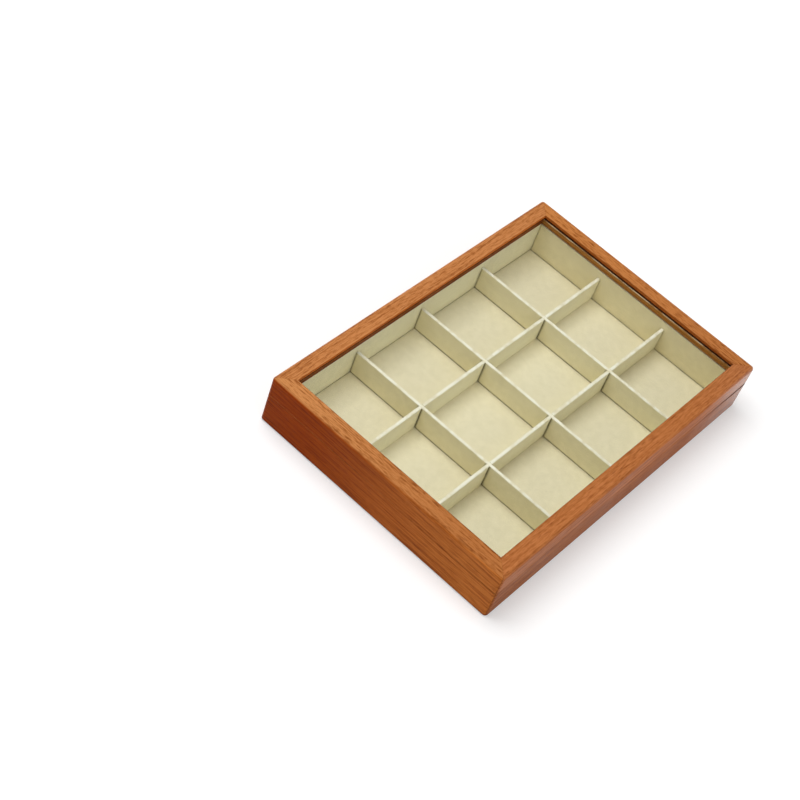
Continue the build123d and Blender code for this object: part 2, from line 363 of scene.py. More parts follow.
class Wiring:
    """A node tree being wired: it adds nodes, sets their values and links them."""

    def __init__(self, tree: bpy.types.NodeTree) -> None:
        """Takes the tree to wire."""
        self.tree = tree

    @classmethod
    def emptied(cls, owner: bpy.types.Material | bpy.types.World) -> "Wiring":
        """The wiring of a material or a world, freed of the nodes it came with.

        Args:
            owner: The material or the world.

        Returns:
            Its wiring.
        """
        owner.use_nodes = True
        owner.node_tree.nodes.clear()
        return cls(owner.node_tree)

    def add(self, kind: str, values: dict | None = None, **settings: object) -> bpy.types.Node:
        """Adds a node.

        Args:
            kind: The node's type.
            values: What goes into its sockets, by name or number: a value, or a socket to link.
            **settings: The node's own properties.

        Returns:
            The node.
        """
        node = self.tree.nodes.new(kind)
        for name, value in settings.items():
            setattr(node, name, value)
        for key, value in (values or {}).items():
            if isinstance(value, bpy.types.NodeSocket):
                self.tree.links.new(value, node.inputs[key])
            else:
                node.inputs[key].default_value = value
        return node

    def maths(self, kind: Maths, *terms: float | Socket, clamp: bool = False) -> Socket:
        """A sum on numbers."""
        values = dict(enumerate(terms))
        return self.add("ShaderNodeMath", values, operation=kind.value, use_clamp=clamp).outputs[0]

    def stretch(self, vector: Socket, scale: Triple) -> Socket:
        """A vector with each of its numbers multiplied by its own factor."""
        return self.add("ShaderNodeVectorMath", {0: vector, 1: scale}, operation="MULTIPLY").outputs[0]

    def shift(self, vector: Socket, by: Triple | Socket) -> Socket:
        """A vector moved by another."""
        return self.add("ShaderNodeVectorMath", {0: vector, 1: by}, operation="ADD").outputs[0]

    def part(self, vector: Socket, axis: int) -> Socket:
        """One number of a vector."""
        return self.add("ShaderNodeSeparateXYZ", {0: vector}).outputs[axis]

    def upward(self) -> Socket:
        """How far a face looks up, from -1 to 1."""
        return self.part(self.add("ShaderNodeTexCoord").outputs["Normal"], 2)

    def board(self, place: Socket, turn: float, pith: Pair) -> Socket:
        """A place on a board, measured from the log's pith, with the board along X.

        Args:
            place: The place on its piece.
            turn: Degrees that turn the board's length onto X.
            pith: How far the board lies from the pith, along Y and Z.

        Returns:
            The place on the board.
        """
        return self.add("ShaderNodeMapping", {
            "Vector": place, "Rotation": (0, 0, math.radians(turn)), "Location": (0, *pith),
        }).outputs[0]

    def mark(self, name: str) -> Socket:
        """A mark that the piece's points carry."""
        return self.add("ShaderNodeAttribute", attribute_name=name).outputs["Fac"]

    def noise(
        self, vector: Socket, scale: float | Socket = 1.0, detail: float = 2.0, roughness: float = 0.5,
        distortion: float = 0.0,
    ) -> Socket:
        """Smooth noise from 0 to 1 about 0.5.

        Args:
            vector: Where it is read.
            scale: Waves per metre.
            detail: How many finer layers it has.
            roughness: How strong the finer layers are.
            distortion: How far it is bent.

        Returns:
            The noise.
        """
        return self.add("ShaderNodeTexNoise", {
            "Vector": vector, "Scale": scale, "Detail": detail, "Roughness": roughness,
            "Distortion": distortion,
        }).outputs["Fac"]

    def window(self, value: Socket, low: float | Socket, high: float | Socket) -> Socket:
        """0 below low and 1 above high, with a smooth rise between them."""
        sizes = {0: value, 1: low, 2: high}
        return self.add("ShaderNodeMapRange", sizes, interpolation_type="SMOOTHSTEP").outputs[0]

    def spread(self, value: Socket, low: float | Socket, high: float | Socket) -> Socket:
        """A value from 0 to 1 spread from low to high."""
        return self.add("ShaderNodeMapRange", {0: value, 3: low, 4: high}).outputs[0]

    def mix(
        self, share: float | Socket, first: Colour | Socket, second: Colour | Socket,
        blend: Blend = Blend.COVER,
    ) -> Socket:
        """Two colours mixed by a share of the second."""
        values = {0: share, 6: first, 7: second}
        return self.add("ShaderNodeMix", values, data_type="RGBA", blend_type=blend.value).outputs[2]

    def ramp(self, value: Socket, stops: Sequence[tuple[float, Colour]]) -> Socket:
        """A colour picked along a row of stops.

        Args:
            value: Where along the row.
            stops: Each stop's place and colour.

        Returns:
            The colour.
        """
        node = self.add("ShaderNodeValToRGB", {0: value})
        row = node.color_ramp.elements
        while len(row) < len(stops):
            row.new(1.0)
        for element, (place, colour) in zip(row, stops):
            element.position = place
            element.color = colour
        return node.outputs[0]


class Effect:
    """A shared effect: a shader node group with named sockets, built once.

    It takes a vector and the numbers in takes, each with its usual value, and gives numbers.
    """

    name = "effect"
    takes: dict[str, float] = {}
    gives: tuple[str, ...] = ()

    @classmethod
    def group(cls) -> bpy.types.NodeTree:
        """The effect's node group, made on its first use.

        Returns:
            The node group.
        """
        found = bpy.data.node_groups.get(cls.name)
        if found is not None:
            return found
        tree = bpy.data.node_groups.new(cls.name, "ShaderNodeTree")
        tree.interface.new_socket("Vector", in_out="INPUT", socket_type="NodeSocketVector")
        for label, usual in cls.takes.items():
            socket = tree.interface.new_socket(label, in_out="INPUT", socket_type="NodeSocketFloat")
            socket.default_value = usual
        for label in cls.gives:
            tree.interface.new_socket(label, in_out="OUTPUT", socket_type="NodeSocketFloat")
        wiring = Wiring(tree)
        given = wiring.add("NodeGroupInput").outputs
        wiring.add("NodeGroupOutput", cls.wire(wiring, given))
        return tree

    @classmethod
    def wire(cls, wiring: Wiring, given: bpy.types.NodeOutputs) -> dict[str, Socket]:
        """Wires the inside of the group, and names the socket behind each output."""
        raise NotImplementedError

    @classmethod
    def place(cls, wiring: Wiring, values: dict[str, object]) -> bpy.types.NodeOutputs:
        """Puts the effect into a material with that material's own values."""
        return wiring.add("ShaderNodeGroup", values, node_tree=cls.group()).outputs


class WoodFigure(Effect):
    """The figure of a board: its grain runs along the vector's X, and Y and Z lie across it.

    The board is cut from a log whose pith runs along X at some distance and wanders slowly, so the
    distance to the pith, in ring widths, gives the year rings as a rise that ends in a sharp dark line.
    Streaks are noise stretched out along the grain, and pores are short thin dashes of a finer noise. The
    waves are counted per metre along and across the grain.
    """

    name = "wood_figure"
    takes = {"Ring Width": 0.0024, "Wander": 0.012, "Seed": 0.0}
    gives = ("Rings", "Streaks", "Flecks", "Pores", "Blotch")
    drift_waves = (5.0, 3.0, 3.0)
    quiver_waves = (28.0, 90.0, 90.0)
    quiver_depth = 0.9
    rise_power = 2.2
    fall_from = 0.86
    ring_strengths = (0.25, 1.3)
    streak_waves = (16.0, 640.0, 640.0)
    fleck_waves = (130.0, 900.0, 900.0)
    dash_waves = (110.0, 2100.0, 2100.0)
    bunch_waves = (14.0, 130.0, 130.0)
    blotch_waves = (16.0, 45.0, 45.0)
    pores_open_to = (0.74, 0.5)
    pore_edge = 0.06

    @classmethod
    def wire(cls, wiring: Wiring, given: bpy.types.NodeOutputs) -> dict[str, Socket]:
        """Wires the rings, streaks, pores and blotches.

        Args:
            wiring: The group's wiring.
            given: The group's inputs.

        Returns:
            The socket behind each output.
        """
        seed = wiring.add("ShaderNodeCombineXYZ", dict.fromkeys(range(3), given["Seed"])).outputs[0]
        board = wiring.shift(given["Vector"], seed)
        dashes = wiring.noise(wiring.stretch(board, cls.dash_waves), detail=1.0)
        bunches = wiring.noise(wiring.stretch(board, cls.bunch_waves), detail=1.0)
        open_to = wiring.spread(bunches, *cls.pores_open_to)
        return {
            "Rings": cls.rings(wiring, given, board),
            "Streaks": wiring.noise(wiring.stretch(board, cls.streak_waves), detail=4.0, roughness=0.65),
            "Flecks": wiring.noise(wiring.stretch(board, cls.fleck_waves), detail=3.0, roughness=0.6),
            "Pores": wiring.window(dashes, open_to, wiring.maths(Maths.ADD, open_to, cls.pore_edge)),
            "Blotch": wiring.noise(wiring.stretch(board, cls.blotch_waves)),
        }

    @classmethod
    def rings(cls, wiring: Wiring, given: bpy.types.NodeOutputs, board: Socket) -> Socket:
        """Wires the year rings.

        With t the distance to the pith in ring widths, the fraction f of t gives f ** rise_power, cut
        off smoothly from fall_from on, and the whole part of t picks the year's strength.

        Args:
            wiring: The group's wiring.
            given: The group's inputs.
            board: Where the board is read, moved by the seed.

        Returns:
            The rings' depth.
        """
        slow = wiring.add("ShaderNodeTexNoise", {
            "Vector": wiring.stretch(board, cls.drift_waves), "Scale": 1.0, "Detail": 1.5, "Roughness": 0.4,
        }).outputs["Color"]
        drift = wiring.add("ShaderNodeVectorMath", {
            0: wiring.shift(slow, (-0.5, -0.5, -0.5)), "Scale": given["Wander"],
        }, operation="SCALE").outputs[0]
        bent = wiring.shift(given["Vector"], drift)
        quiver = wiring.noise(wiring.stretch(board, cls.quiver_waves))
        y, z = (wiring.maths(Maths.POWER, wiring.part(bent, axis), 2.0) for axis in (1, 2))
        radius = wiring.maths(Maths.ROOT, wiring.maths(Maths.ADD, y, z))
        turns = wiring.maths(Maths.ADD, wiring.maths(Maths.DIVIDE, radius, given["Ring Width"]),
                             wiring.maths(Maths.MULTIPLY, quiver, cls.quiver_depth))
        within = wiring.maths(Maths.FRACTION, turns)
        year = wiring.add("ShaderNodeTexWhiteNoise", {"W": wiring.maths(Maths.WHOLE, turns)},
                          noise_dimensions="1D").outputs["Value"]
        line = wiring.maths(Maths.MULTIPLY, wiring.maths(Maths.POWER, within, cls.rise_power),
                            wiring.window(within, 1.0, cls.fall_from))
        return wiring.maths(Maths.MULTIPLY, line, wiring.spread(year, *cls.ring_strengths))


class EdgeWearAndLight(Effect):
    """What use and light do to edges: use wears some pale and leaves dirt in others, and both also carry
    painted light and shade.

    The piece's edge mark is above 0 where it is worn pale and painted bright, and below 0 where dirt and
    painted shade gather, and noise breaks both up.
    """

    name = "edge_wear_and_light"
    takes = {"Rubbing And Light": 0.5, "Grime": 0.5, "Grit": 400.0}
    gives = ("Rubbed", "Grimed And Shaded")
    broken_between = (0.3, 0.62)
    least_grime_and_shade = 0.75

    @classmethod
    def wire(cls, wiring: Wiring, given: bpy.types.NodeOutputs) -> dict[str, Socket]:
        """Wires the edge mark and its breaks.

        Args:
            wiring: The group's wiring.
            given: The group's inputs.

        Returns:
            The socket behind each output.
        """
        edge = wiring.mark(EDGE)
        grit = wiring.noise(given["Vector"], given["Grit"], detail=3.0)
        broken = wiring.window(grit, *cls.broken_between)
        rubbed = wiring.maths(Maths.MULTIPLY, wiring.maths(Maths.LARGER, edge, 0.0), broken)
        hollow = wiring.maths(Maths.LARGER, wiring.maths(Maths.MULTIPLY, edge, -1.0), 0.0)
        grimed_and_shaded = wiring.maths(Maths.MULTIPLY, hollow, wiring.spread(broken, cls.least_grime_and_shade, 1.0))
        return {
            "Rubbed": wiring.maths(Maths.MULTIPLY, rubbed, given["Rubbing And Light"], clamp=True),
            "Grimed And Shaded": wiring.maths(Maths.MULTIPLY, grimed_and_shaded, given["Grime"], clamp=True),
        }


class ClothNap(Effect):
    """A short pile: soft patches where it lies another way, and its fine grain."""

    name = "cloth_nap"
    takes = {"Patch": 110.0, "Pile": 2600.0}
    gives = ("Patches", "Pile")

    @classmethod
    def wire(cls, wiring: Wiring, given: bpy.types.NodeOutputs) -> dict[str, Socket]:
        """Wires the patches and the pile.

        Args:
            wiring: The group's wiring.
            given: The group's inputs.

        Returns:
            The socket behind each output.
        """
        return {
            "Patches": wiring.noise(given["Vector"], given["Patch"], detail=4.0, roughness=0.62),
            "Pile": wiring.noise(given["Vector"], given["Pile"], detail=2.0, roughness=0.6),
        }


class Handling(Effect):
    """Faint smears of handling and polish, as a value from 0 to 1."""

    name = "handling"
    takes = {"Size": 18.0}
    gives = ("Smear",)
    smeared_between = (0.3, 0.7)

    @classmethod
    def wire(cls, wiring: Wiring, given: bpy.types.NodeOutputs) -> dict[str, Socket]:
        """Wires the smears."""
        smear = wiring.noise(given["Vector"], given["Size"], detail=5.0, roughness=0.55, distortion=0.6)
        return {"Smear": wiring.window(smear, *cls.smeared_between)}


@dataclass(frozen=True)
class Finish:
    """A finish: it makes one material, and each kind says how its surface is wired."""

    name: str

    def material(self) -> bpy.types.Material:
        """The finish's material, made on its first use.

        Returns:
            The material.
        """
        found = bpy.data.materials.get(self.name)
        if found is not None:
            return found
        made = bpy.data.materials.new(self.name)
        wiring = Wiring.emptied(made)
        place = wiring.add("ShaderNodeTexCoord").outputs["Object"]
        wiring.add("ShaderNodeOutputMaterial", {"Surface": self.surface(wiring, place)})
        return made

    def surface(self, wiring: Wiring, place: Socket) -> Socket:
        """Wires the surface at a piece's own places, and gives the shader's socket."""
        raise NotImplementedError

    @staticmethod
    def bump(wiring: Wiring, height: Socket, distance: float, strength: float = 1.0) -> Socket:
        """The normal that a height gives."""
        values = {"Height": height, "Distance": distance, "Strength": strength}
        return wiring.add("ShaderNodeBump", values).outputs[0]


@dataclass(frozen=True)
class Lacquer(Finish):
    """Satin lacquer over figured wood.

    The tones are those of the palest wood at the start and the end of the board, on its top and on its
    sides, and the figure darkens them. The top is painted paler than the sides, for the light and the veil
    of reflection that fall on it. Along the front and the left side the tones hold a painted glare and a
    painted shadow. The contrast and the shares of the rings, streaks, flecks and blotches are given
    for the top and for the sides. The other pairs of numbers are the two ends of a rise.
    """

    top: tuple[Colour, Colour]
    sides: tuple[Colour, Colour]
    turn: float = 0.0
    half_length: float = 0.175
    pith: Pair = (0.03, 0.09)
    seed: float = 0.0
    ring_width: float = 2.6 * MM
    wander: float = 14 * MM
    contrast: Pair = (1.0, 1.0)
    rings: Pair = (0.40, 0.36)
    streaks: Pair = (0.30, 0.70)
    flecks: Pair = (0.46, 0.24)
    blotch: Pair = (0.36, 0.36)
    figure_between: Pair = (0.36, 0.64)
    tone: float = 0.48
    top_from: Pair = (0.35, 0.95)
    blended: float = 0.8
    pore_depths: Pair = (0.3, 0.5)
    # Painted shade below the seam, for the dimmer reflection that the lower rail catches near the floor.
    below: Colour = WHITE
    below_fade: float = 1 * MM
    seam: float = 30 * MM
    seam_shadow_line: float = 0.0
    line_rise: float = -0.2 * MM
    line_reach: Pair = (2.8 * MM, 0.5 * MM)
    line_from: Pair = (0.6, 0.95)
    line_least: float = 0.8
    polish: float = 0.0
    polished_from: Pair = (0.5, 0.98)
    late_wood: Colour = (0.50, 0.37, 0.26, 1.0)
    mid_wood: Colour = (0.82, 0.75, 0.66, 1.0)
    pore: Colour = paint(96, 40, 14)
    # Dark colour for dirt and dark joints, and for painted shadow in the seam and at the foot.
    grime: Colour = paint(50, 20, 6)
    # The colour that paints shade on the faces inside the window.
    shade: Colour = (0.74, 0.64, 0.48, 1.0)
    roughness: Pair = (0.36, 0.46)
    grime_roughness: float = 0.95
    specular: float = 0.04

    def surface(self, wiring: Wiring, place: Socket) -> Socket:
        """Wires the wood and its lacquer.

        Args:
            wiring: The material's wiring.
            place: Each point's place on its piece.

        Returns:
            The shader's socket.
        """
        board = wiring.board(place, self.turn, self.pith)
        figure = WoodFigure.place(wiring, {
            "Vector": board, "Ring Width": self.ring_width, "Wander": self.wander, "Seed": self.seed,
        })
        along, height = wiring.part(board, 0), wiring.part(place, 2)
        smear = Handling.place(wiring, {"Vector": place})["Smear"]
        grimed_and_shaded = EdgeWearAndLight.place(wiring, {"Vector": place, "Grime": 1.0, "Grit": 60.0})["Grimed And Shaded"]
        grimed_and_shaded = wiring.maths(Maths.LARGER, grimed_and_shaded, self.open_seam_shadow(wiring, along, height, smear))
        polished = wiring.window(along, *(share * self.half_length for share in self.polished_from))
        streaks = wiring.maths(Maths.MULTIPLY, figure["Streaks"], 0.5)
        relief = wiring.maths(Maths.SUBTRACT, streaks, figure["Pores"])
        return wiring.add("ShaderNodeBsdfPrincipled", {
            # The dark colour covers dirt and dark joints, and painted shadow in the seam and at the foot.
            "Base Color": wiring.mix(grimed_and_shaded, self.wood(wiring, figure, along, height), self.grime),
            "Roughness": wiring.spread(grimed_and_shaded, wiring.spread(smear, *self.roughness), self.grime_roughness),
            "Specular IOR Level": self.specular,
            "Coat Weight": wiring.maths(Maths.MULTIPLY, polished, wiring.spread(grimed_and_shaded, self.polish, 0.0)),
            "Coat Roughness": 0.25,
            "Normal": self.bump(wiring, relief, 0.04 * MM, 0.5),
        }).outputs[0]

    def wood(
        self, wiring: Wiring, figure: bpy.types.NodeOutputs, along: Socket, height: Socket,
    ) -> Socket:
        """Wires the wood's colour: its palest tone, darkened by the figure, the pores and painted shade.

        Args:
            wiring: The material's wiring.
            figure: The wood's figure.
            along: Places along the board.
            height: Heights, which tell the wood below the seam from the wood above it.

        Returns:
            The colour.
        """
        # Faces that look up take the top's tones and the rest take the sides' tones: lit and shaded copies of
        # one wood.
        on_top = wiring.window(wiring.upward(), *self.top_from)
        blended = self.blended * self.half_length
        towards_end = wiring.window(along, -blended, blended)
        palest = wiring.mix(on_top, wiring.mix(towards_end, *self.sides), wiring.mix(towards_end, *self.top))
        stops = [(0.0, WHITE), (0.5, self.mid_wood), (1.0, self.late_wood)]
        darkening = wiring.ramp(self.depth(wiring, figure, on_top), stops)
        wood = wiring.mix(1.0, palest, darkening, blend=Blend.DARKEN)
        pores = wiring.maths(Maths.MULTIPLY, figure["Pores"], wiring.spread(on_top, *self.pore_depths))
        wood = wiring.mix(pores, wood, self.pore)
        # Painted shade on the faces inside the window, where the lip keeps the light off.
        wood = wiring.mix(wiring.mark(INNER_SHADE), wood, self.shade, blend=Blend.DARKEN)
        # Painted shade on the wood below the seam.
        below_seam = wiring.window(height, self.seam, self.seam - self.below_fade)
        return wiring.mix(below_seam, wood, self.below, blend=Blend.DARKEN)

    def depth(self, wiring: Wiring, figure: bpy.types.NodeOutputs, on_top: Socket) -> Socket:
        """Wires how dark the figure is.

        Every part of the figure adds its share times the contrast. Half their sum is taken off first,
        so that the mean stays at the tone.

        Args:
            wiring: The material's wiring.
            figure: The wood's figure.
            on_top: 1 on the top and 0 on the sides.

        Returns:
            The depth, from 0 at the palest to 1 at the darkest.
        """
        parts = (
            figure["Rings"],
            wiring.window(figure["Streaks"], *self.figure_between),
            wiring.window(figure["Flecks"], *self.figure_between),
            figure["Blotch"],
        )
        shares = np.array([self.rings, self.streaks, self.flecks, self.blotch]) * self.contrast
        top_start, side_start = (self.tone - shares.sum(0) / 2).tolist()
        depth = wiring.spread(on_top, side_start, top_start)
        for part, (top, side) in zip(parts, shares.tolist()):
            share = wiring.spread(on_top, side, top)
            depth = wiring.maths(Maths.ADD, depth, wiring.maths(Maths.MULTIPLY, part, share))
        return depth

    def open_seam_shadow(self, wiring: Wiring, along: Socket, height: Socket, smear: Socket) -> Socket:
        """Wires the seam's painted shadow, with some dirt: a dark line towards the board's end, where it
        closes less tightly.

        Args:
            wiring: The material's wiring.
            along: Places along the board.
            height: Heights.
            smear: The smears of handling, which break the line up.

        Returns:
            How dark the line is.
        """
        off_seam = wiring.maths(Maths.SIZE, wiring.maths(Maths.SUBTRACT, height, self.seam + self.line_rise))
        loose = wiring.window(along, *(share * self.half_length for share in self.line_from))
        worn = wiring.spread(smear, self.line_least, 1.0)
        line = wiring.maths(Maths.MULTIPLY, wiring.window(off_seam, *self.line_reach), worn)
        return wiring.maths(Maths.MULTIPLY, line, wiring.spread(loose, 0.0, self.seam_shadow_line))


@dataclass(frozen=True)
class BareWood(Finish):
    """The unlacquered wood of a bead, with pale worn arrises that carry a painted highlight."""

    turn: float = 0.0
    light: Colour = paint(198, 138, 66)
    dark: Colour = paint(134, 80, 28)
    # Pale colour for worn arrises, which also paints their highlight.
    rubbed: Colour = paint(255, 232, 194)
    # Dark colour for painted shade at the bead's foot.
    grime: Colour = paint(60, 32, 12)
    grime_and_shade_depth: float = 0.4
    pith: Pair = (0.05, 0.08)
    ring_width: float = 1.4 * MM
    wander: float = 9 * MM
    seed: float = 3.3
    figure_share: float = 0.5
    dark_from: float = 0.8
    roughness: Pair = (0.5, 0.62)
    specular: float = 0.08

    def surface(self, wiring: Wiring, place: Socket) -> Socket:
        """Wires the wood, its pale worn arrises with their painted highlight, and the painted shade at its
        foot.

        Args:
            wiring: The material's wiring.
            place: Each point's place on its piece.

        Returns:
            The shader's socket.
        """
        figure = WoodFigure.place(wiring, {
            "Vector": wiring.board(place, self.turn, self.pith),
            "Ring Width": self.ring_width, "Wander": self.wander, "Seed": self.seed,
        })
        rings, streaks = (
            wiring.maths(Maths.MULTIPLY, figure[part], self.figure_share) for part in ("Rings", "Streaks")
        )
        tone = wiring.maths(Maths.ADD, rings, streaks, clamp=True)
        wood = wiring.ramp(tone, [(0.0, self.light), (self.dark_from, self.dark)])
        wear = EdgeWearAndLight.place(wiring, {
            "Vector": place, "Rubbing And Light": 1.0, "Grime": self.grime_and_shade_depth, "Grit": 90.0,
        })
        # Pale worn arrises with a painted highlight, and painted shade at the foot.
        wood = wiring.mix(wear["Grimed And Shaded"], wiring.mix(wear["Rubbed"], wood, self.rubbed), self.grime)
        smear = Handling.place(wiring, {"Vector": place})["Smear"]
        return wiring.add("ShaderNodeBsdfPrincipled", {
            "Base Color": wood,
            "Roughness": wiring.spread(smear, *self.roughness),
            "Specular IOR Level": self.specular,
            "Normal": self.bump(wiring, figure["Streaks"], 0.05 * MM, 0.5),
        }).outputs[0]


@dataclass(frozen=True)
class Microfibre(Finish):
    """Short-piled cloth on a board, with painted highlights on its edges and painted light and shade in its
    creases and on upright faces.
    """

    ground: Colour = paint(238, 229, 200)
    shade: Colour = paint(232, 223, 193)
    # Painted highlight colour for the lit edges and tops.
    drawn_and_lit: Colour = paint(255, 252, 236)
    # Painted shade colour for the creases and feet.
    crease_shade: Colour = paint(64, 52, 10)
    # Painted light and shade on faces that stand upright.
    upright: Colour = (1.02, 1.03, 0.98, 1.0)
    patches_between: Pair = (0.3, 0.7)
    upright_from: Pair = (0.7, 0.2)
    pile_depth: float = 0.12
    roughness: Pair = (0.86, 1.0)
    sheen: Colour = paint(226, 208, 150)

    def surface(self, wiring: Wiring, place: Socket) -> Socket:
        """Wires the cloth.

        Args:
            wiring: The material's wiring.
            place: Each point's place on its piece.

        Returns:
            The shader's socket.
        """
        nap = ClothNap.place(wiring, {"Vector": place, "Patch": 170.0})
        cloth = wiring.mix(wiring.window(nap["Patches"], *self.patches_between), self.shade, self.ground)
        # Upright faces get their own painted tone of light and shade.
        on_side = wiring.window(wiring.upward(), *self.upright_from)
        cloth = wiring.mix(on_side, cloth, self.upright, blend=Blend.DARKEN)
        pile = wiring.spread(nap["Pile"], 0.0, self.pile_depth)
        cloth = wiring.mix(pile, cloth, self.shade, blend=Blend.DARKEN)
        wear = EdgeWearAndLight.place(wiring, {"Vector": place, "Rubbing And Light": 1.0, "Grime": 0.9, "Grit": 150.0})
        # Painted highlight along the lit edges and painted shade in the creases.
        cloth = wiring.mix(wear["Grimed And Shaded"], wiring.mix(wear["Rubbed"], cloth, self.drawn_and_lit), self.crease_shade)
        relief = wiring.maths(Maths.ADD, nap["Pile"], nap["Patches"])
        return wiring.add("ShaderNodeBsdfPrincipled", {
            "Base Color": cloth,
            "Roughness": wiring.spread(nap["Patches"], *self.roughness),
            "Specular IOR Level": 0.02,
            "Sheen Weight": 0.04,
            "Sheen Roughness": 0.5,
            "Sheen Tint": self.sheen,
            "Normal": self.bump(wiring, relief, 0.12 * MM, 0.35),
        }).outputs[0]


@dataclass(frozen=True)
class Felt(Finish):
    """Dark felt of matted fibres."""

    ground: Colour = paint(34, 33, 35)
    fibre: Colour = paint(62, 60, 62)
    fibres_between: Pair = (0.2, 0.4)
    roughness: Pair = (0.85, 1.0)

    def surface(self, wiring: Wiring, place: Socket) -> Socket:
        """Wires the felt.

        Args:
            wiring: The material's wiring.
            place: Each point's place on its piece.

        Returns:
            The shader's socket.
        """
        nap = ClothNap.place(wiring, {"Vector": place, "Patch": 260.0, "Pile": 1500.0})
        mixed = wiring.maths(Maths.MULTIPLY, nap["Patches"], nap["Pile"])
        return wiring.add("ShaderNodeBsdfPrincipled", {
            "Base Color": wiring.mix(wiring.window(mixed, *self.fibres_between), self.ground, self.fibre),
            "Roughness": wiring.spread(nap["Pile"], *self.roughness),
            "Specular IOR Level": 0.15,
            "Sheen Weight": 0.4,
            "Normal": self.bump(wiring, mixed, 0.25 * MM, 0.8),
        }).outputs[0]


@dataclass(frozen=True)
class Board(Finish):
    """Plain pressed board, with its fine chips."""

    ground: Colour = paint(150, 118, 84)
    chip: Colour = paint(112, 84, 56)
    chip_waves: float = 420.0
    chips_between: Pair = (0.4, 0.6)
    roughness: Pair = (0.7, 0.85)

    def surface(self, wiring: Wiring, place: Socket) -> Socket:
        """Wires the board.

        Args:
            wiring: The material's wiring.
            place: Each point's place on its piece.

        Returns:
            The shader's socket.
        """
        chips = wiring.noise(place, self.chip_waves, detail=4.0, roughness=0.7)
        return wiring.add("ShaderNodeBsdfPrincipled", {
            "Base Color": wiring.mix(wiring.window(chips, *self.chips_between), self.chip, self.ground),
            "Roughness": wiring.spread(chips, *self.roughness),
            "Specular IOR Level": 0.3,
            "Normal": self.bump(wiring, chips, 0.08 * MM, 0.4),
        }).outputs[0]


@dataclass(frozen=True)
class Rubber(Finish):
    """Soft dark brown gasket rubber, faintly dusty."""

    ground: Colour = paint(58, 24, 8)
    dust: Colour = paint(86, 48, 24)
    speck_waves: float = 900.0
    dusty_between: Pair = (0.5, 0.75)
    roughness: Pair = (0.6, 0.8)

    def surface(self, wiring: Wiring, place: Socket) -> Socket:
        """Wires the rubber.

        Args:
            wiring: The material's wiring.
            place: Each point's place on its piece.

        Returns:
            The shader's socket.
        """
        specks = wiring.noise(place, self.speck_waves, detail=4.0)
        return wiring.add("ShaderNodeBsdfPrincipled", {
            "Base Color": wiring.mix(wiring.window(specks, *self.dusty_between), self.ground, self.dust),
            "Roughness": wiring.spread(specks, *self.roughness),
            "Specular IOR Level": 0.06,
        }).outputs[0]


@dataclass(frozen=True)
class Brass(Finish):
    """Brushed brass, tarnished a little in patches."""

    bright: Colour = paint(226, 190, 120)
    tarnish: Colour = paint(170, 126, 66)
    brushed: Triple = (60.0, 4000.0, 4000.0)
    patch_waves: float = 130.0
    tarnished_between: Pair = (0.45, 0.7)
    roughness: Pair = (0.22, 0.42)

    def surface(self, wiring: Wiring, place: Socket) -> Socket:
        """Wires the brass.

        Args:
            wiring: The material's wiring.
            place: Each point's place on its piece.

        Returns:
            The shader's socket.
        """
        patches = wiring.noise(place, self.patch_waves, detail=4.0, roughness=0.6)
        tarnished = wiring.window(patches, *self.tarnished_between)
        lines = wiring.noise(wiring.stretch(place, self.brushed))
        return wiring.add("ShaderNodeBsdfPrincipled", {
            "Base Color": wiring.mix(tarnished, self.bright, self.tarnish),
            "Metallic": 1.0,
            "Roughness": wiring.spread(lines, *self.roughness),
            "Normal": self.bump(wiring, lines, 0.01 * MM, 0.4),
        }).outputs[0]


@dataclass(frozen=True)
class WindowGlass(Finish):
    """Clear float glass that lets lamps and soft light straight through to the cells."""

    tint: Colour = (0.985, 0.995, 0.99, 1.0)
    let_through: Colour = (0.97, 0.98, 0.97, 1.0)
    haze_waves: float = 60.0
    roughness: Pair = (0.0, 0.012)

    def surface(self, wiring: Wiring, place: Socket) -> Socket:
        """Wires the glass, with a faint haze of dust in its gloss.

        Args:
            wiring: The material's wiring.
            place: Each point's place on its piece.

        Returns:
            The shader's socket.
        """
        haze = wiring.noise(place, self.haze_waves, detail=3.0)
        glass = wiring.add("ShaderNodeBsdfPrincipled", {
            "Base Color": self.tint,
            "Roughness": wiring.spread(haze, *self.roughness),
            "IOR": 1.5,
            "Transmission Weight": 1.0,
        }).outputs[0]
        path = wiring.add("ShaderNodeLightPath").outputs
        open_rays = wiring.maths(Maths.LARGER, path["Is Shadow Ray"], path["Is Diffuse Ray"])
        clear = wiring.add("ShaderNodeBsdfTransparent", {"Color": self.let_through}).outputs[0]
        return wiring.add("ShaderNodeMixShader", {0: open_rays, 1: glass, 2: clear}).outputs[0]


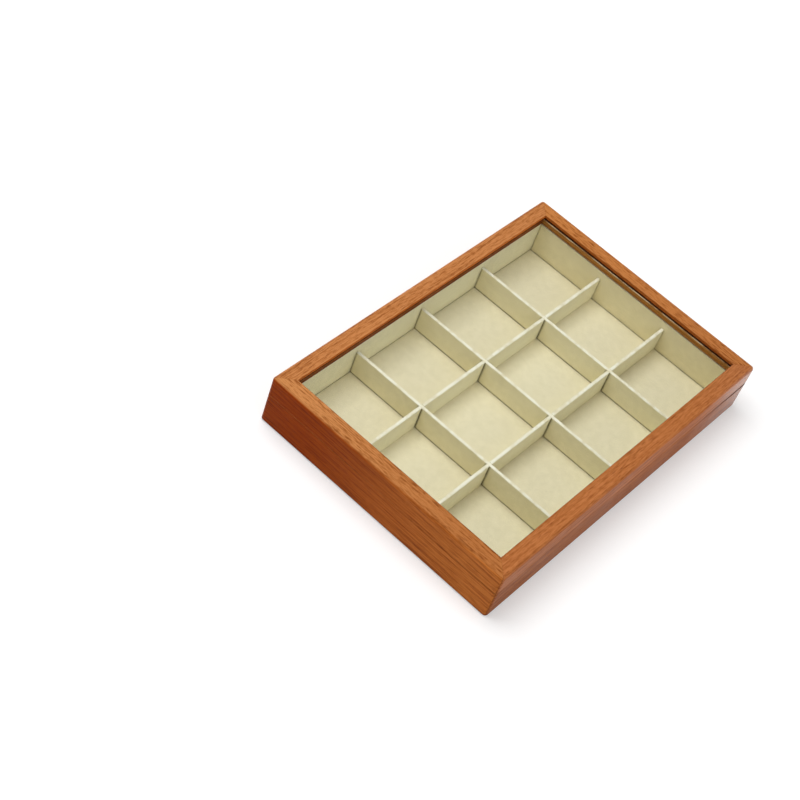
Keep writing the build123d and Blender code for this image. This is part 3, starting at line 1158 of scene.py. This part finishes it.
@dataclass(frozen=True)
class MitredFrame:
    """Four rails mitred at their corners, swept round a rectangle.

    A profile point at depth d runs along the straight of each side and then round the corner on an
    arc of radius max(r - d, 0), where r is the frame's outer rounding, as far as the mitre plane.
    """

    half: Pair
    outline: Outline
    corner_round: float
    recess: "HingeRecess | None" = None
    seam: "SeamShadowAndGrime | None" = None
    mitre_mark: float = -0.4
    margin: float = 2 * MM

    def grid(self, side: Side) -> tuple[Array, dict[str, Array]]:
        """The points of one side's rail.

        With end = half_length - max(d, r) and rho = max(r - d, 0), a station at angle t of the
        corner's arc lies at along = +-end + rho sin t and depth = d + rho (1 - cos t).

        Args:
            side: Which side.

        Returns:
            The points as rows by columns by 3, and their marks.
        """
        half_length = self.half[0] if side.lengthways else self.half[1]
        outline = self.outline
        recess = self.recess if side is Side.BACK else None
        if recess is not None:
            outline = recess.stepped(outline)
        depth = outline.across[None]
        end = half_length - np.maximum(depth, self.corner_round)
        rho = np.maximum(self.corner_round - depth, 0)
        straight = np.linspace(-1, 1, RAIL_STATIONS) * (half_length - outline.across.max() - self.margin)
        sunk = np.zeros(len(straight), bool)
        if recess is not None:
            straight, sunk = recess.stations(straight)
        turn = np.linspace(0, math.pi / 4, ARC_STEPS // 2 + 1)
        still, level = np.zeros(len(turn)), np.zeros(len(straight))
        rows = len(turn) + 1
        sign = np.concatenate([-np.ones(rows), level, np.ones(rows)])[:, None]
        inward = np.concatenate([still, [SHOULDER], level, [SHOULDER], still])[:, None]
        angle = np.concatenate([-turn[::-1], [0], level, [0], turn])[:, None]
        offset = np.concatenate([np.zeros(rows), straight, np.zeros(rows)])[:, None]
        along = offset + sign * (end - inward) + rho * np.sin(angle)
        deep = depth + rho * (1 - np.cos(angle))
        high = np.broadcast_to(outline.up, along.shape)
        if recess is not None:
            high = np.where(np.pad(sunk, rows)[:, None], recess.sunken(outline), high)
        edge = np.broadcast_to(outline.edge, along.shape)
        # The seam's dirt and painted shadow grow along the side; the mitres keep a dark joint.
        if self.seam is not None:
            edge = edge * self.seam.strength(side, along / half_length, high)
            at_mitre = np.isclose(half_length - deep, np.abs(along), atol=10 * WELD)
            edge = np.where(at_mitre, np.minimum(edge, self.mitre_mark), edge)
        marks = {EDGE: edge, INNER_SHADE: np.broadcast_to(outline.inner, along.shape)}
        return side.stand(along, deep, high, self.half), marks


@dataclass(frozen=True)
class SeamShadowAndGrime:
    """How much dirt and painted shadow lie in the seam, which closes tighter at one end of a side than at the
    other.
    """

    level: float
    ends: dict[Side, Pair]
    reach: float = 1 * MM
    power: int = 8

    def strength(self, side: Side, share: Array, up: Array) -> Array:
        """The strength of the dirt and painted shadow: near the seam a + (b - a) * s ** power, and 1
        elsewhere.

        Args:
            side: The side, whose strengths at its start and end are a and b.
            share: Places along the side from -1 to 1, with s = (share + 1) / 2.
            up: Heights.

        Returns:
            The strengths.
        """
        start, end = self.ends[side]
        s = np.clip((share + 1) / 2, 0, 1)
        return np.where(np.abs(up - self.level) < self.reach, start + (end - start) * s ** self.power, 1.0)


@dataclass(frozen=True)
class HingeRecess:
    """The shallow seats for the hinge leaves in a back rail's seam face."""

    centres: tuple[float, ...]
    half_length: float
    reach: float
    level: float
    seam: float

    def stepped(self, outline: Outline) -> Outline:
        """An outline with two points more on its seam face, where the seats end.

        Args:
            outline: The rail's outline.

        Returns:
            The outline with its two points more.
        """
        flat = np.isclose(outline.up, self.seam) & np.isclose(np.roll(outline.up, -1), self.seam)
        crossing = (outline.across - self.reach) * (np.roll(outline.across, -1) - self.reach) < 0
        spot = int(np.flatnonzero(flat & crossing)[0]) + 1
        added = (self.reach, self.seam, 0.0, 0.0)
        rows = (outline.across, outline.up, outline.edge, outline.inner)
        return Outline(*(np.insert(row, spot, [value, value]) for row, value in zip(rows, added)))

    def sunken(self, outline: Outline) -> Array:
        """The outline's heights inside a seat, with its seam face moved to the seat's level.

        Args:
            outline: The outline with its two points more.

        Returns:
            The heights.
        """
        in_seat = outline.across < self.reach - WELD
        twins = np.flatnonzero(np.isclose(outline.across, self.reach) & np.isclose(outline.up, self.seam))
        outer = twins[0] if outline.across[twins[0] - 1] < self.reach else twins[1]
        in_seat[outer] = True
        away = (outline.up - self.level) * (self.seam - self.level) > 0
        return np.where(in_seat & away, self.level, outline.up)

    def stations(self, marks: Array) -> tuple[Array, Array]:
        """Stations along the rail with a pair at each end of each seat.

        Args:
            marks: The plain stations.

        Returns:
            All stations in order, and which of them lie in a seat.
        """
        places, sunk = [marks], [np.zeros(len(marks), bool)]
        for centre in self.centres:
            low, high = centre - self.half_length, centre + self.half_length
            places.append(np.array([low, low, high, high]))
            sunk.append(np.array([False, True, True, False]))
            keep = (places[0] < low) | (places[0] > high)
            places[0], sunk[0] = places[0][keep], sunk[0][keep]
        place, flag = np.concatenate(places), np.concatenate(sunk)
        seat = np.concatenate([np.zeros(len(places[0]))] + [np.arange(4.0)] * len(self.centres))
        order = np.lexsort((seat, place))
        return place[order], flag[order]


@dataclass(frozen=True)
class Notch:
    """A slot across a board: its middle along the board, its half width and the height it reaches."""

    middle: float
    half_width: float
    level: float
    from_above: bool


@dataclass(frozen=True)
class CoveredBoard:
    """A thin board wrapped in cloth, or a soft strip or sheet, with every edge softly rounded.

    Each profile point is its rounding's centre plus k times the radius along its normal. k is 1 along
    the board and falls to 0 at its ends on a quarter circle, so the ends are as round as the edges.
    """

    low: Array
    high: Array
    lengthways: bool
    top_round: float
    foot_round: float
    end_round: float
    notches: tuple[Notch, ...] = ()
    # The edge marks paint light and shade on the cloth: above 0 on the top and crown a painted highlight,
    # below 0 at the foot and ends painted shade in the creases, and above 0 at a foot painted light.
    top_mark: float = 1.0
    crown_highlight: float = 0.0
    foot_mark: float = -1.0
    end_mark: float = -0.8
    fade: float = 1.3 * MM
    spacing: float = 12 * MM
    shoulder_share: float = 0.45
    swell_from: float = 0.3
    hollow_least: float = 0.85

    def profile(self) -> tuple[Array, Array, Array, Array]:
        """The board's profile: a rounding at each corner, with a shoulder point before and after it.

        The corners go round from the foot. A rounding's normals run over a quarter turn, and its edge
        mark swells to the middle; a hollow one, below 0, stays nearly full and fades further out.

        Returns:
            The roundings' centres, their radii, the normals and the edge marks, point by point.
        """
        half = (self.high[1] - self.low[1] if self.lengthways else self.high[0] - self.low[0]) / 2
        radius = np.array([self.foot_round, self.foot_round, self.top_round, self.top_round])
        mark = np.array([self.foot_mark, self.foot_mark, self.top_mark, self.top_mark])[:, None]
        upright = self.high[2] - self.low[2] - self.foot_round - self.top_round
        flats = np.array([upright, 2 * half - 2 * self.foot_round, upright, 2 * half - 2 * self.top_round])
        free = self.shoulder_share * flats
        reach = np.where(mark[:, 0] < 0, self.fade, SHOULDER)
        sign = np.array([(-1, -1), (1, -1), (1, 1), (-1, 1)])
        outer = np.array([self.low[2], self.low[2], self.high[2], self.high[2]])
        centre = np.stack([sign[:, 0] * (half - radius), outer - sign[:, 1] * radius], axis=1)
        start = np.radians([180, 270, 0, 90])[:, None]
        angle = start + np.linspace(0, math.pi / 2, ARC_STEPS + 1)
        normal = np.stack([np.cos(angle), np.sin(angle)], axis=-1)
        tangent = np.stack([np.sin(angle), -np.cos(angle)], axis=-1)
        before = centre[:, None] + np.minimum(reach, free)[:, None, None] * tangent[:, :1]
        after = centre[:, None] - np.minimum(reach, np.roll(free, -1))[:, None, None] * tangent[:, -1:]
        centres = np.concatenate([before, np.repeat(centre[:, None], ARC_STEPS + 1, axis=1), after], axis=1)
        normals = np.concatenate([normal[:, :1], normal, normal[:, -1:]], axis=1)
        swell = np.sin(np.linspace(self.swell_from, math.pi - self.swell_from, ARC_STEPS + 1))
        swell = np.where(mark < 0, np.maximum(swell, self.hollow_least), swell)
        edge = mark * np.pad(swell, ((0, 0), (1, 1)))
        edge[2, -1] = edge[3, 0] = self.crown_highlight
        radii = np.repeat(radius, ARC_STEPS + 3)
        return centres.reshape(-1, 2), radii, normals.reshape(-1, 2), edge.reshape(-1)

    def stations(self) -> tuple[Array, Array, Array, Array, Array]:
        """The stations along the board, over each length between two notches.

        Returns:
            For each station its place, k, the lowest and the highest height there, and how near an
            end it is, from 0 to 1. Where nothing bounds the height, the bound is far off.
        """
        axis = 0 if self.lengthways else 1
        arc = np.linspace(0, math.pi / 2, ARC_STEPS + 1)
        ease, swell = self.end_round * (1 - np.cos(arc)), np.sin(arc)
        cuts = sorted(self.notches, key=lambda notch: notch.middle)
        lows = [self.low[axis], *(cut.middle + cut.half_width for cut in cuts)]
        highs = [*(cut.middle - cut.half_width for cut in cuts), self.high[axis]]
        place, k, floor, ceiling, near = [], [], [], [], []
        faded = self.end_round + self.fade
        for number, (low, high) in enumerate(zip(lows, highs)):
            count = max(int((high - low) / self.spacing), 3)
            run = np.linspace(low + faded, high - faded, count)
            place.append(np.concatenate([low + ease, run, (high - ease)[::-1]]))
            k.append(np.concatenate([swell, np.ones(len(run)), swell[::-1]]))
            near.append(np.clip(1 - np.minimum(place[-1] - low, high - place[-1]) / faded, 0, 1))
            floor.append(np.full(len(place[-1]), -FAR))
            ceiling.append(np.full(len(place[-1]), FAR))
            if number < len(cuts):
                cut = cuts[number]
                place.append(np.array([high, lows[number + 1]]))
                k.append(np.zeros(2))
                near.append(np.ones(2))
                floor.append(np.full(2, -FAR if cut.from_above else cut.level))
                ceiling.append(np.full(2, cut.level if cut.from_above else FAR))
        return tuple(np.concatenate(part)[:, None] for part in (place, k, floor, ceiling, near))

    def grid(self) -> tuple[Array, dict[str, Array]]:
        """The board's points, with painted shade in the upright edges at its ends and in its notches.

        Returns:
            The points as rows by columns by 3, and their marks.
        """
        centres, radius, normals, edge = self.profile()
        place, k, floor, ceiling, near = self.stations()
        ends = (place == place[0]) | (place == place[-1])
        if self.notches:
            reach = (place < place[0] + self.end_round) | (place > place[-1] - self.end_round)
            rounded = (centres[:, 1] > self.notches[0].level) == self.notches[0].from_above
            k = np.where(reach | ends | rounded[None], k, 1.0)
        # Painted shade in the upright edges near the ends and at the notches.
        hollow = near * ((normals[:, 1] < WELD) | (self.top_mark < 0)) * self.end_mark
        edge = np.where(hollow < 0, np.minimum(edge, hollow), edge)
        across = centres[:, 0] + k * radius * normals[:, 0]
        up = np.clip(centres[:, 1] + k * radius * normals[:, 1], floor, ceiling)
        along = np.broadcast_to(place, across.shape)
        middle = (self.low + self.high) / 2
        if self.lengthways:
            points = np.stack([along, across + middle[1], up], axis=-1)
        else:
            points = np.stack([middle[0] - across, along, up], axis=-1)
        return points, {EDGE: np.broadcast_to(edge, across.shape)}


@dataclass
class WoodenFrames:
    """The mitred wooden frames of the base and the lid, as one box that was sawn apart at the seam.

    The grain of a side therefore runs on from the base into the lid.
    """

    edge_round: float = 3.0 * MM
    foot_round: float = 1.0 * MM
    seam_ease: float = 0.4 * MM
    seam_fade: float = 0.9 * MM
    lip_ease: float = 0.5 * MM
    soft: float = 0.2 * MM
    fit: float = 0.2 * MM
    leaf_thickness: float = 0.9 * MM
    # How strong the seam's dirt and painted shadow are at the start and the end of each side.
    grime: dict[Side, Pair] = field(default_factory=lambda: {
        Side.FRONT: (0.05, 2.2), Side.RIGHT: (0.9, 0.8), Side.BACK: (0.8, 0.9), Side.LEFT: (0.05, 0.4),
    })
    finishes: dict[Side, Lacquer] = field(default_factory=lambda: {
        # The front's sides grow paler towards the right end: a painted glare.
        Side.FRONT: Lacquer(
            "lacquer_front", pith=(0.19, 0.05), seed=1.7,
            top=(paint(186, 116, 66), paint(186, 116, 66)), sides=(paint(186, 112, 62), paint(196, 116, 62)),
            contrast=(1.15, 1.8), below=(0.79, 0.73, 0.57, 1.0), polish=0.7, seam_shadow_line=0.95,
        ),
        Side.BACK: Lacquer(
            "lacquer_back", pith=(-0.05, 0.04), seed=5.2,
            top=(paint(195, 128, 75), paint(195, 128, 75)), sides=(paint(196, 114, 54), paint(196, 114, 54)),
            # The back's inner lip face gets a warmer painted shade.
            shade=(1.25, 1.0, 0.55, 1.0), contrast=(1.5, 0.9),
        ),
        # The left's sides are painted darker at the back end: a painted shadow.
        Side.LEFT: Lacquer(
            "lacquer_left", turn=90, half_length=0.12, pith=(0.25, 0.02), seed=9.1,
            top=(paint(199, 134, 79), paint(180, 113, 61)), sides=(paint(156, 64, 5), paint(200, 118, 53)),
            contrast=(2.2, 1.25),
        ),
        Side.RIGHT: Lacquer(
            "lacquer_right", turn=90, half_length=0.12, pith=(-0.1, 0.05), seed=12.4,
            top=(paint(194, 125, 67), paint(184, 116, 62)), sides=(paint(196, 114, 54), paint(196, 114, 54)),
            contrast=(2.9, 0.9),
        ),
    })

    def __post_init__(self) -> None:
        """Reads the frames' sizes from the model."""
        rail_low, rail_high = corners_of("lid_front_rail")
        base_low, base_high = corners_of("base_front_rail")
        self.half = (float(corners_of("lid_right_rail")[1][0]), -float(rail_low[1]))
        self.rail_width = float(rail_high[1] - rail_low[1])
        self.wall = float(base_high[1] - base_low[1])
        self.foot, self.seam, self.top = float(base_low[2]), float(base_high[2]), float(rail_high[2])
        self.lip_bottom = float(corners_of("gasket_front")[1][2])
        self.lid_wall = float(corners_of("glazing_bead_front")[0][1]) + self.half[1]
        panel = corners_of("base_panel")
        self.seat = self.half[0] - float(panel[1][0]) - self.fit
        self.panel_top = float(panel[1][2])

    def recess(self, body: Body) -> HingeRecess:
        """The seats of the hinge leaves in the back rail of the base or the lid.

        Args:
            body: Whose back rail it is.

        Returns:
            The seats.
        """
        rise = self.leaf_thickness if body is Body.LID else -self.leaf_thickness
        spans = [corners_of(f"hinge_{name}_{body.value}_leaf") for name in ("left", "right")]
        low, high = spans[0]
        return HingeRecess(
            centres=tuple(float(a[0] + b[0]) / 2 for a, b in spans),
            half_length=float(high[0] - low[0]) / 2 + self.fit,
            reach=self.half[1] - float(low[1]) + self.fit,
            level=self.seam + rise,
            seam=self.seam,
        )

    def base_outline(self) -> Outline:
        """The base rail's profile: a wall with a rabbet below for the bottom panel.

        Returns:
            The outline, from the outer foot inwards.
        """
        return Outline.eased([
            # The foot's rounding is darkened: a painted contact shadow.
            Corner(0, self.foot, self.foot_round, edge=-0.7),
            Corner(self.seat, self.foot, self.soft),
            Corner(self.seat, self.panel_top, self.soft),
            Corner(self.wall, self.panel_top, self.soft),
            Corner(self.wall, self.seam, self.soft),
            # The seam's rounding carries dirt and painted shadow.
            Corner(0, self.seam, self.seam_ease, edge=-1.0, fill=1.0, shoulder=self.seam_fade),
        ])

    def lid_outline(self) -> Outline:
        """The lid rail's profile: a wall that stands round the liners, and a lip over the glass.

        Returns:
            The outline, from the outer seam inwards.
        """
        return Outline.eased([
            # The seam's rounding carries dirt and painted shadow.
            Corner(0, self.seam, self.seam_ease, edge=-1.0, fill=1.0, shoulder=self.seam_fade),
            # The faces inside the window are marked for painted shade.
            Corner(self.lid_wall, self.seam, self.soft, inner=1.0),
            Corner(self.lid_wall, self.lip_bottom, self.soft, inner=1.0),
            Corner(self.rail_width, self.lip_bottom, self.soft, inner=1.0),
            Corner(self.rail_width, self.top, self.lip_ease, edge=-0.4),
            Corner(0, self.top, self.edge_round),
        ])

    def build(self) -> None:
        """Builds and dresses the eight rails."""
        for body, outline in ((Body.BASE, self.base_outline()), (Body.LID, self.lid_outline())):
            seam = SeamShadowAndGrime(self.seam, self.grime)
            loop = MitredFrame(self.half, outline, self.edge_round, self.recess(body), seam)
            for side in Side:
                node = f"{body.value}_{side.label}_rail"
                piece = Piece(f"{node}_wood", body, "cherry_wood", (node,))
                piece.make(*loop.grid(side), self.finishes[side].material())


@dataclass
class Glazing:
    """What holds the pane: the dark strips over it and the beads under it, and the pane itself."""

    bead_ease: float = 0.7 * MM
    strip_round: float = 0.3 * MM

    def build(self) -> None:
        """Builds and dresses the strips, the beads and the pane."""
        half = (float(CAD_BOX[1][0]), -float(CAD_BOX[0][1]))
        low, high = corners_of("glazing_bead_front")
        inset = half[1] + float(low[1])
        width, foot, top = float(high[1] - low[1]), float(low[2]), float(high[2])
        # The bead's foot carries painted shade, and its top arris a painted highlight as well as wear.
        outline = Outline.eased([
            Corner(0, foot, 0),
            Corner(width, foot, self.bead_ease, edge=-1.0, spill=0.7),
            Corner(width, top, self.bead_ease, edge=1.0),
            Corner(0, top, 0),
        ])
        loop = MitredFrame((half[0] - inset, half[1] - inset), outline, corner_round=0.0)
        # The long beads' wood is a painted-shade copy, darker than the short beads'.
        woods = {
            True: BareWood(
                "bead_wood_long_painted_shade", light=paint(158, 86, 36), dark=paint(112, 56, 20),
                rubbed=paint(170, 104, 56), grime=paint(44, 18, 4), grime_and_shade_depth=1.0,
            ),
            False: BareWood("bead_wood_short", turn=90),
        }
        rubber, ease = Rubber("gasket_rubber"), self.strip_round
        for side in Side:
            bead, strip = f"glazing_bead_{side.label}", f"gasket_{side.label}"
            piece = Piece(f"{bead}_wood", Body.LID, "bead_wood", (bead,))
            piece.make(*loop.grid(side), woods[side.lengthways].material())
            board = CoveredBoard(
                *corners_of(strip), side.lengthways, ease, ease, ease, foot_mark=0.0, end_mark=0.0,
            )
            piece = Piece(f"{strip}_rubber", Body.LID, "dark_gasket", (strip,))
            piece.make(*board.grid(), rubber.material())
        dress("glass_pane", WindowGlass("window_glass").material())


@dataclass
class Lining:
    """The boards covered in cream microfibre: the floor, the four walls and the five dividers."""

    edge: float = 0.8 * MM
    foot: float = 0.6 * MM
    floor_edge: float = 0.7 * MM
    floor_foot: float = 0.3 * MM
    end: float = 0.6 * MM
    notch_play: float = 0.1 * MM
    # Painted shade at the crosswise boards' feet, and a little painted light at the lengthways boards' feet.
    foot_marks: Pair = (-1.0, 0.2)
    cloth: Microfibre = Microfibre("microfibre_cream")
    # The long boards' cloth is painted lighter on upright faces, which face away from the lamp.
    long_cloth: Microfibre = Microfibre("microfibre_cream_long_painted_light", upright=(1.05, 1.09, 1.10, 1.0))
    # The right liner's cloth is a painted-shade copy, deeper where the lip keeps the light off.
    right_cloth: Microfibre = Microfibre(
        "microfibre_cream_painted_shade",
        ground=paint(237, 226, 194), shade=paint(230, 219, 186), drawn_and_lit=paint(252, 243, 214),
    )

    @staticmethod
    def finish(node: str, made: CoveredBoard, cloth: Microfibre) -> None:
        """Puts a covered board in the place of its node."""
        Piece(f"{node}_cloth", Body.BASE, "cream_microfibre", (node,)).make(*made.grid(), cloth.material())

    def build(self) -> None:
        """Builds and dresses the floor, the liners and the dividers."""
        # The floor's edges, where it meets the liners, carry painted shade.
        floor = CoveredBoard(
            *corners_of("floor_lining"), True, self.floor_edge, self.floor_foot, self.end,
            top_mark=-0.15, end_mark=-0.5,
        )
        self.finish("floor_lining", floor, self.cloth)
        for side in Side:
            node = f"liner_{side.label}"
            board = CoveredBoard(
                *corners_of(node), side.lengthways, self.edge, self.foot, self.end,
                foot_mark=self.foot_marks[side.lengthways], end_mark=-0.4,
            )
            self.finish(node, board, self.right_cloth if side is Side.RIGHT else self.long_cloth)
        long_nodes = [f"long_divider_{number}" for number in (1, 2)]
        short_nodes = [f"short_divider_{number}" for number in (1, 2, 3)]
        lap = float(sum(corners_of(long_nodes[0])[end][2] for end in (0, 1))) / 2
        for nodes, crossed, lengthways in ((long_nodes, short_nodes, True), (short_nodes, long_nodes, False)):
            slots = self.slots(crossed, lap, lengthways)
            for node in nodes:
                board = CoveredBoard(
                    *corners_of(node), lengthways, self.edge, self.foot, self.end, slots,
                    crown_highlight=0.8, foot_mark=self.foot_marks[lengthways],
                )
                self.finish(node, board, self.long_cloth if lengthways else self.cloth)

    def slots(self, crossed: Sequence[str], lap: float, lengthways: bool) -> tuple[Notch, ...]:
        """The slots of a divider, half lapped with the ones that it crosses.

        Args:
            crossed: The nodes of the dividers that it crosses.
            lap: The height at which they meet.
            lengthways: True for a long divider, which is notched from above.

        Returns:
            The slots, in the crossed dividers' order.
        """
        axis = 0 if lengthways else 1
        level = lap - self.notch_play if lengthways else lap + self.notch_play
        slots = []
        for node in crossed:
            low, high = corners_of(node)
            half_width = float(high[axis] - low[axis]) / 2 + self.notch_play
            slots.append(Notch(float(high[axis] + low[axis]) / 2, half_width, level, lengthways))
        return tuple(slots)


@dataclass
class Underside:
    """The bottom panel and the dark felt glued under it."""

    felt_edge: float = 0.25 * MM

    def build(self) -> None:
        """Builds the felt and dresses the panel."""
        ease = self.felt_edge
        board = CoveredBoard(*corners_of("base_felt"), True, ease, ease, ease, foot_mark=0.0, end_mark=0.0)
        piece = Piece("base_felt_sheet", Body.BASE, "black_felt", ("base_felt",))
        piece.make(*board.grid(), Felt("felt_black").material())
        dress("base_panel", Board("panel_board").material())


@dataclass
class Hinges:
    """The two brass butt hinges with their pins and screws."""

    def build(self) -> None:
        """Dresses the leaves, pins and screws."""
        brass = Brass("hinge_brass_brushed").material()
        for name in ("left", "right"):
            for part in ("base_leaf", "lid_leaf", "pin"):
                dress(f"hinge_{name}_{part}", brass)
        turned = Brass("screw_brass_turned", bright=paint(214, 176, 104), brushed=(1800.0,) * 3).material()
        for node in ("base_hinge_screws", "lid_hinge_screws"):
            dress(node, turned)


@dataclass(frozen=True)
class SoftBox:
    """A large soft lamp that looks at a point."""

    name: str
    place: Triple
    size: Pair
    power: float
    aim: Triple = (0.0, 0.0, 0.0)

    def build(self) -> None:
        """Makes the lamp, which lights the tray but isn't mirrored by its pane."""
        lamp = bpy.data.lights.new(self.name, "AREA")
        lamp.shape = "RECTANGLE"
        lamp.size, lamp.size_y = self.size
        lamp.energy = self.power
        held = place_object(self.name, lamp)
        held.location = self.place
        held.visible_glossy = False
        held.visible_transmission = False
        held.rotation_euler = (Vector(self.aim) - Vector(self.place)).to_track_quat("-Z", "Y").to_euler()


@dataclass
class Studio:
    """The pale floor, the white surround, the soft lamps and the camera."""

    floor_drop: float = 0.05 * MM
    floor_reach: float = 8.0
    floor_colour: Colour = (0.7, 0.7, 0.7, 1.0)
    floor_lift: float = 0.34
    floor_fade: Pair = (0.35, 1.2)
    surround: float = 0.45
    ceiling: float = 0.03
    ceiling_from: Pair = (0.35, 0.6)
    lamps: tuple[SoftBox, ...] = (
        SoftBox("overhead_softbox", place=(-0.2, 0.55, 1.78), size=(1.2, 1.2), power=23.0),
        SoftBox("front_fill", place=(-0.3, -1.7, 1.0), size=(1.4, 0.9), power=6.0),
    )
    lens: float = 84.334
    film: float = 36.0
    eye: Triple = (-1007.70 * MM, -388.19 * MM, 1114.78 * MM)
    heading: float = 64.360
    drop: float = 46.885
    roll: float = 21.320
    clip: Pair = (0.01, 50.0)

    @staticmethod
    def white_behind(wiring: Wiring) -> Socket:
        """Tells the rays that look at the background from those that only gather light.

        Args:
            wiring: The wiring of the floor's material or of the surround.

        Returns:
            1 for rays that look at it straight, in a reflection or through glass, and 0 otherwise.
        """
        path = wiring.add("ShaderNodeLightPath").outputs
        seen = wiring.maths(Maths.LARGER, path["Is Camera Ray"], path["Is Glossy Ray"])
        return wiring.maths(Maths.LARGER, seen, path["Is Transmission Ray"])

    def build_floor(self) -> None:
        """A wide pale floor that keeps the tray's shadow and is lifted to white where it is looked at."""
        side = np.array([-self.floor_reach, self.floor_reach])
        x, y = np.meshgrid(side, side)
        points = np.stack([x, y, np.full_like(x, -self.floor_drop)], axis=-1).reshape(-1, 3)
        mesh = bpy.data.meshes.new("studio_floor")
        mesh.from_pydata(points.tolist(), [], [(0, 1, 3, 2)])
        material = bpy.data.materials.new("studio_floor")
        wiring = Wiring.emptied(material)
        paper = wiring.add("ShaderNodeBsdfDiffuse", {"Color": self.floor_colour}).outputs[0]
        from_middle = wiring.add("ShaderNodeVectorMath", {
            0: wiring.add("ShaderNodeTexCoord").outputs["Object"],
        }, operation="LENGTH").outputs["Value"]
        lift = wiring.spread(wiring.window(from_middle, *self.floor_fade), self.floor_lift, 1.0)
        lift = wiring.maths(Maths.MULTIPLY, self.white_behind(wiring), lift)
        glow = wiring.add("ShaderNodeEmission", {"Color": WHITE, "Strength": lift}).outputs[0]
        shown = wiring.add("ShaderNodeAddShader", {0: paper, 1: glow}).outputs[0]
        wiring.add("ShaderNodeOutputMaterial", {"Surface": shown})
        mesh.materials.append(material)
        place_object("studio_floor", mesh)

    def build_surround(self) -> None:
        """An even pale surround, dark high up in reflections.

        It is white where it is looked at and dimmer as a light.
        """
        world = bpy.data.worlds.new("studio_surround")
        bpy.context.scene.world = world
        wiring = Wiring.emptied(world)
        path = wiring.add("ShaderNodeLightPath").outputs
        upward = wiring.part(wiring.add("ShaderNodeTexCoord").outputs["Generated"], 2)
        mirrored = wiring.maths(Maths.LARGER, path["Is Glossy Ray"], path["Is Transmission Ray"])
        overhead = wiring.maths(Maths.MULTIPLY, mirrored, wiring.window(upward, *self.ceiling_from))
        strength = wiring.spread(self.white_behind(wiring), self.surround, 1.0)
        strength = wiring.spread(overhead, strength, self.ceiling)
        light = wiring.add("ShaderNodeBackground", {"Color": WHITE, "Strength": strength}).outputs[0]
        wiring.add("ShaderNodeOutputWorld", {"Surface": light})

    def build_camera(self) -> None:
        """The camera, by its place and by the heading, drop and roll of its view.

        It looks along v = (sin h cos d, cos h cos d, -sin d), where h is the heading from +Y to +X
        and d the drop below the level, and is then rolled about v.
        """
        heading, drop, roll = (math.radians(angle) for angle in (self.heading, self.drop, self.roll))
        ahead = math.cos(drop)
        view = Vector((math.sin(heading) * ahead, math.cos(heading) * ahead, -math.sin(drop)))
        level = view.cross(Vector((0, 0, 1))).normalized()
        raised = level.cross(view)
        right = level * math.cos(roll) + raised * math.sin(roll)
        up = right.cross(view)
        data = bpy.data.cameras.new("product_camera")
        data.lens, data.sensor_width = self.lens, self.film
        data.clip_start, data.clip_end = self.clip
        camera = place_object("product_camera", data)
        turn = Matrix((right, up, -view)).transposed().to_4x4()
        camera.matrix_world = Matrix.Translation(Vector(self.eye)) @ turn
        bpy.context.scene.camera = camera

    def build(self) -> None:
        """Sets up the whole studio."""
        self.build_floor()
        self.build_surround()
        for lamp in self.lamps:
            lamp.build()
        self.build_camera()
        bpy.context.scene.view_settings.view_transform = "Standard"


def main() -> None:
    """Builds and dresses the tray, part by part, and sets it up in the studio."""
    logging.basicConfig(level=logging.INFO, format="%(name)s: %(message)s")
    for assembly in (WoodenFrames(), Glazing(), Lining(), Underside(), Hinges(), Studio()):
        LOG.info("building %s", type(assembly).__name__)
        assembly.build()


if __name__ == "__main__":
    main()
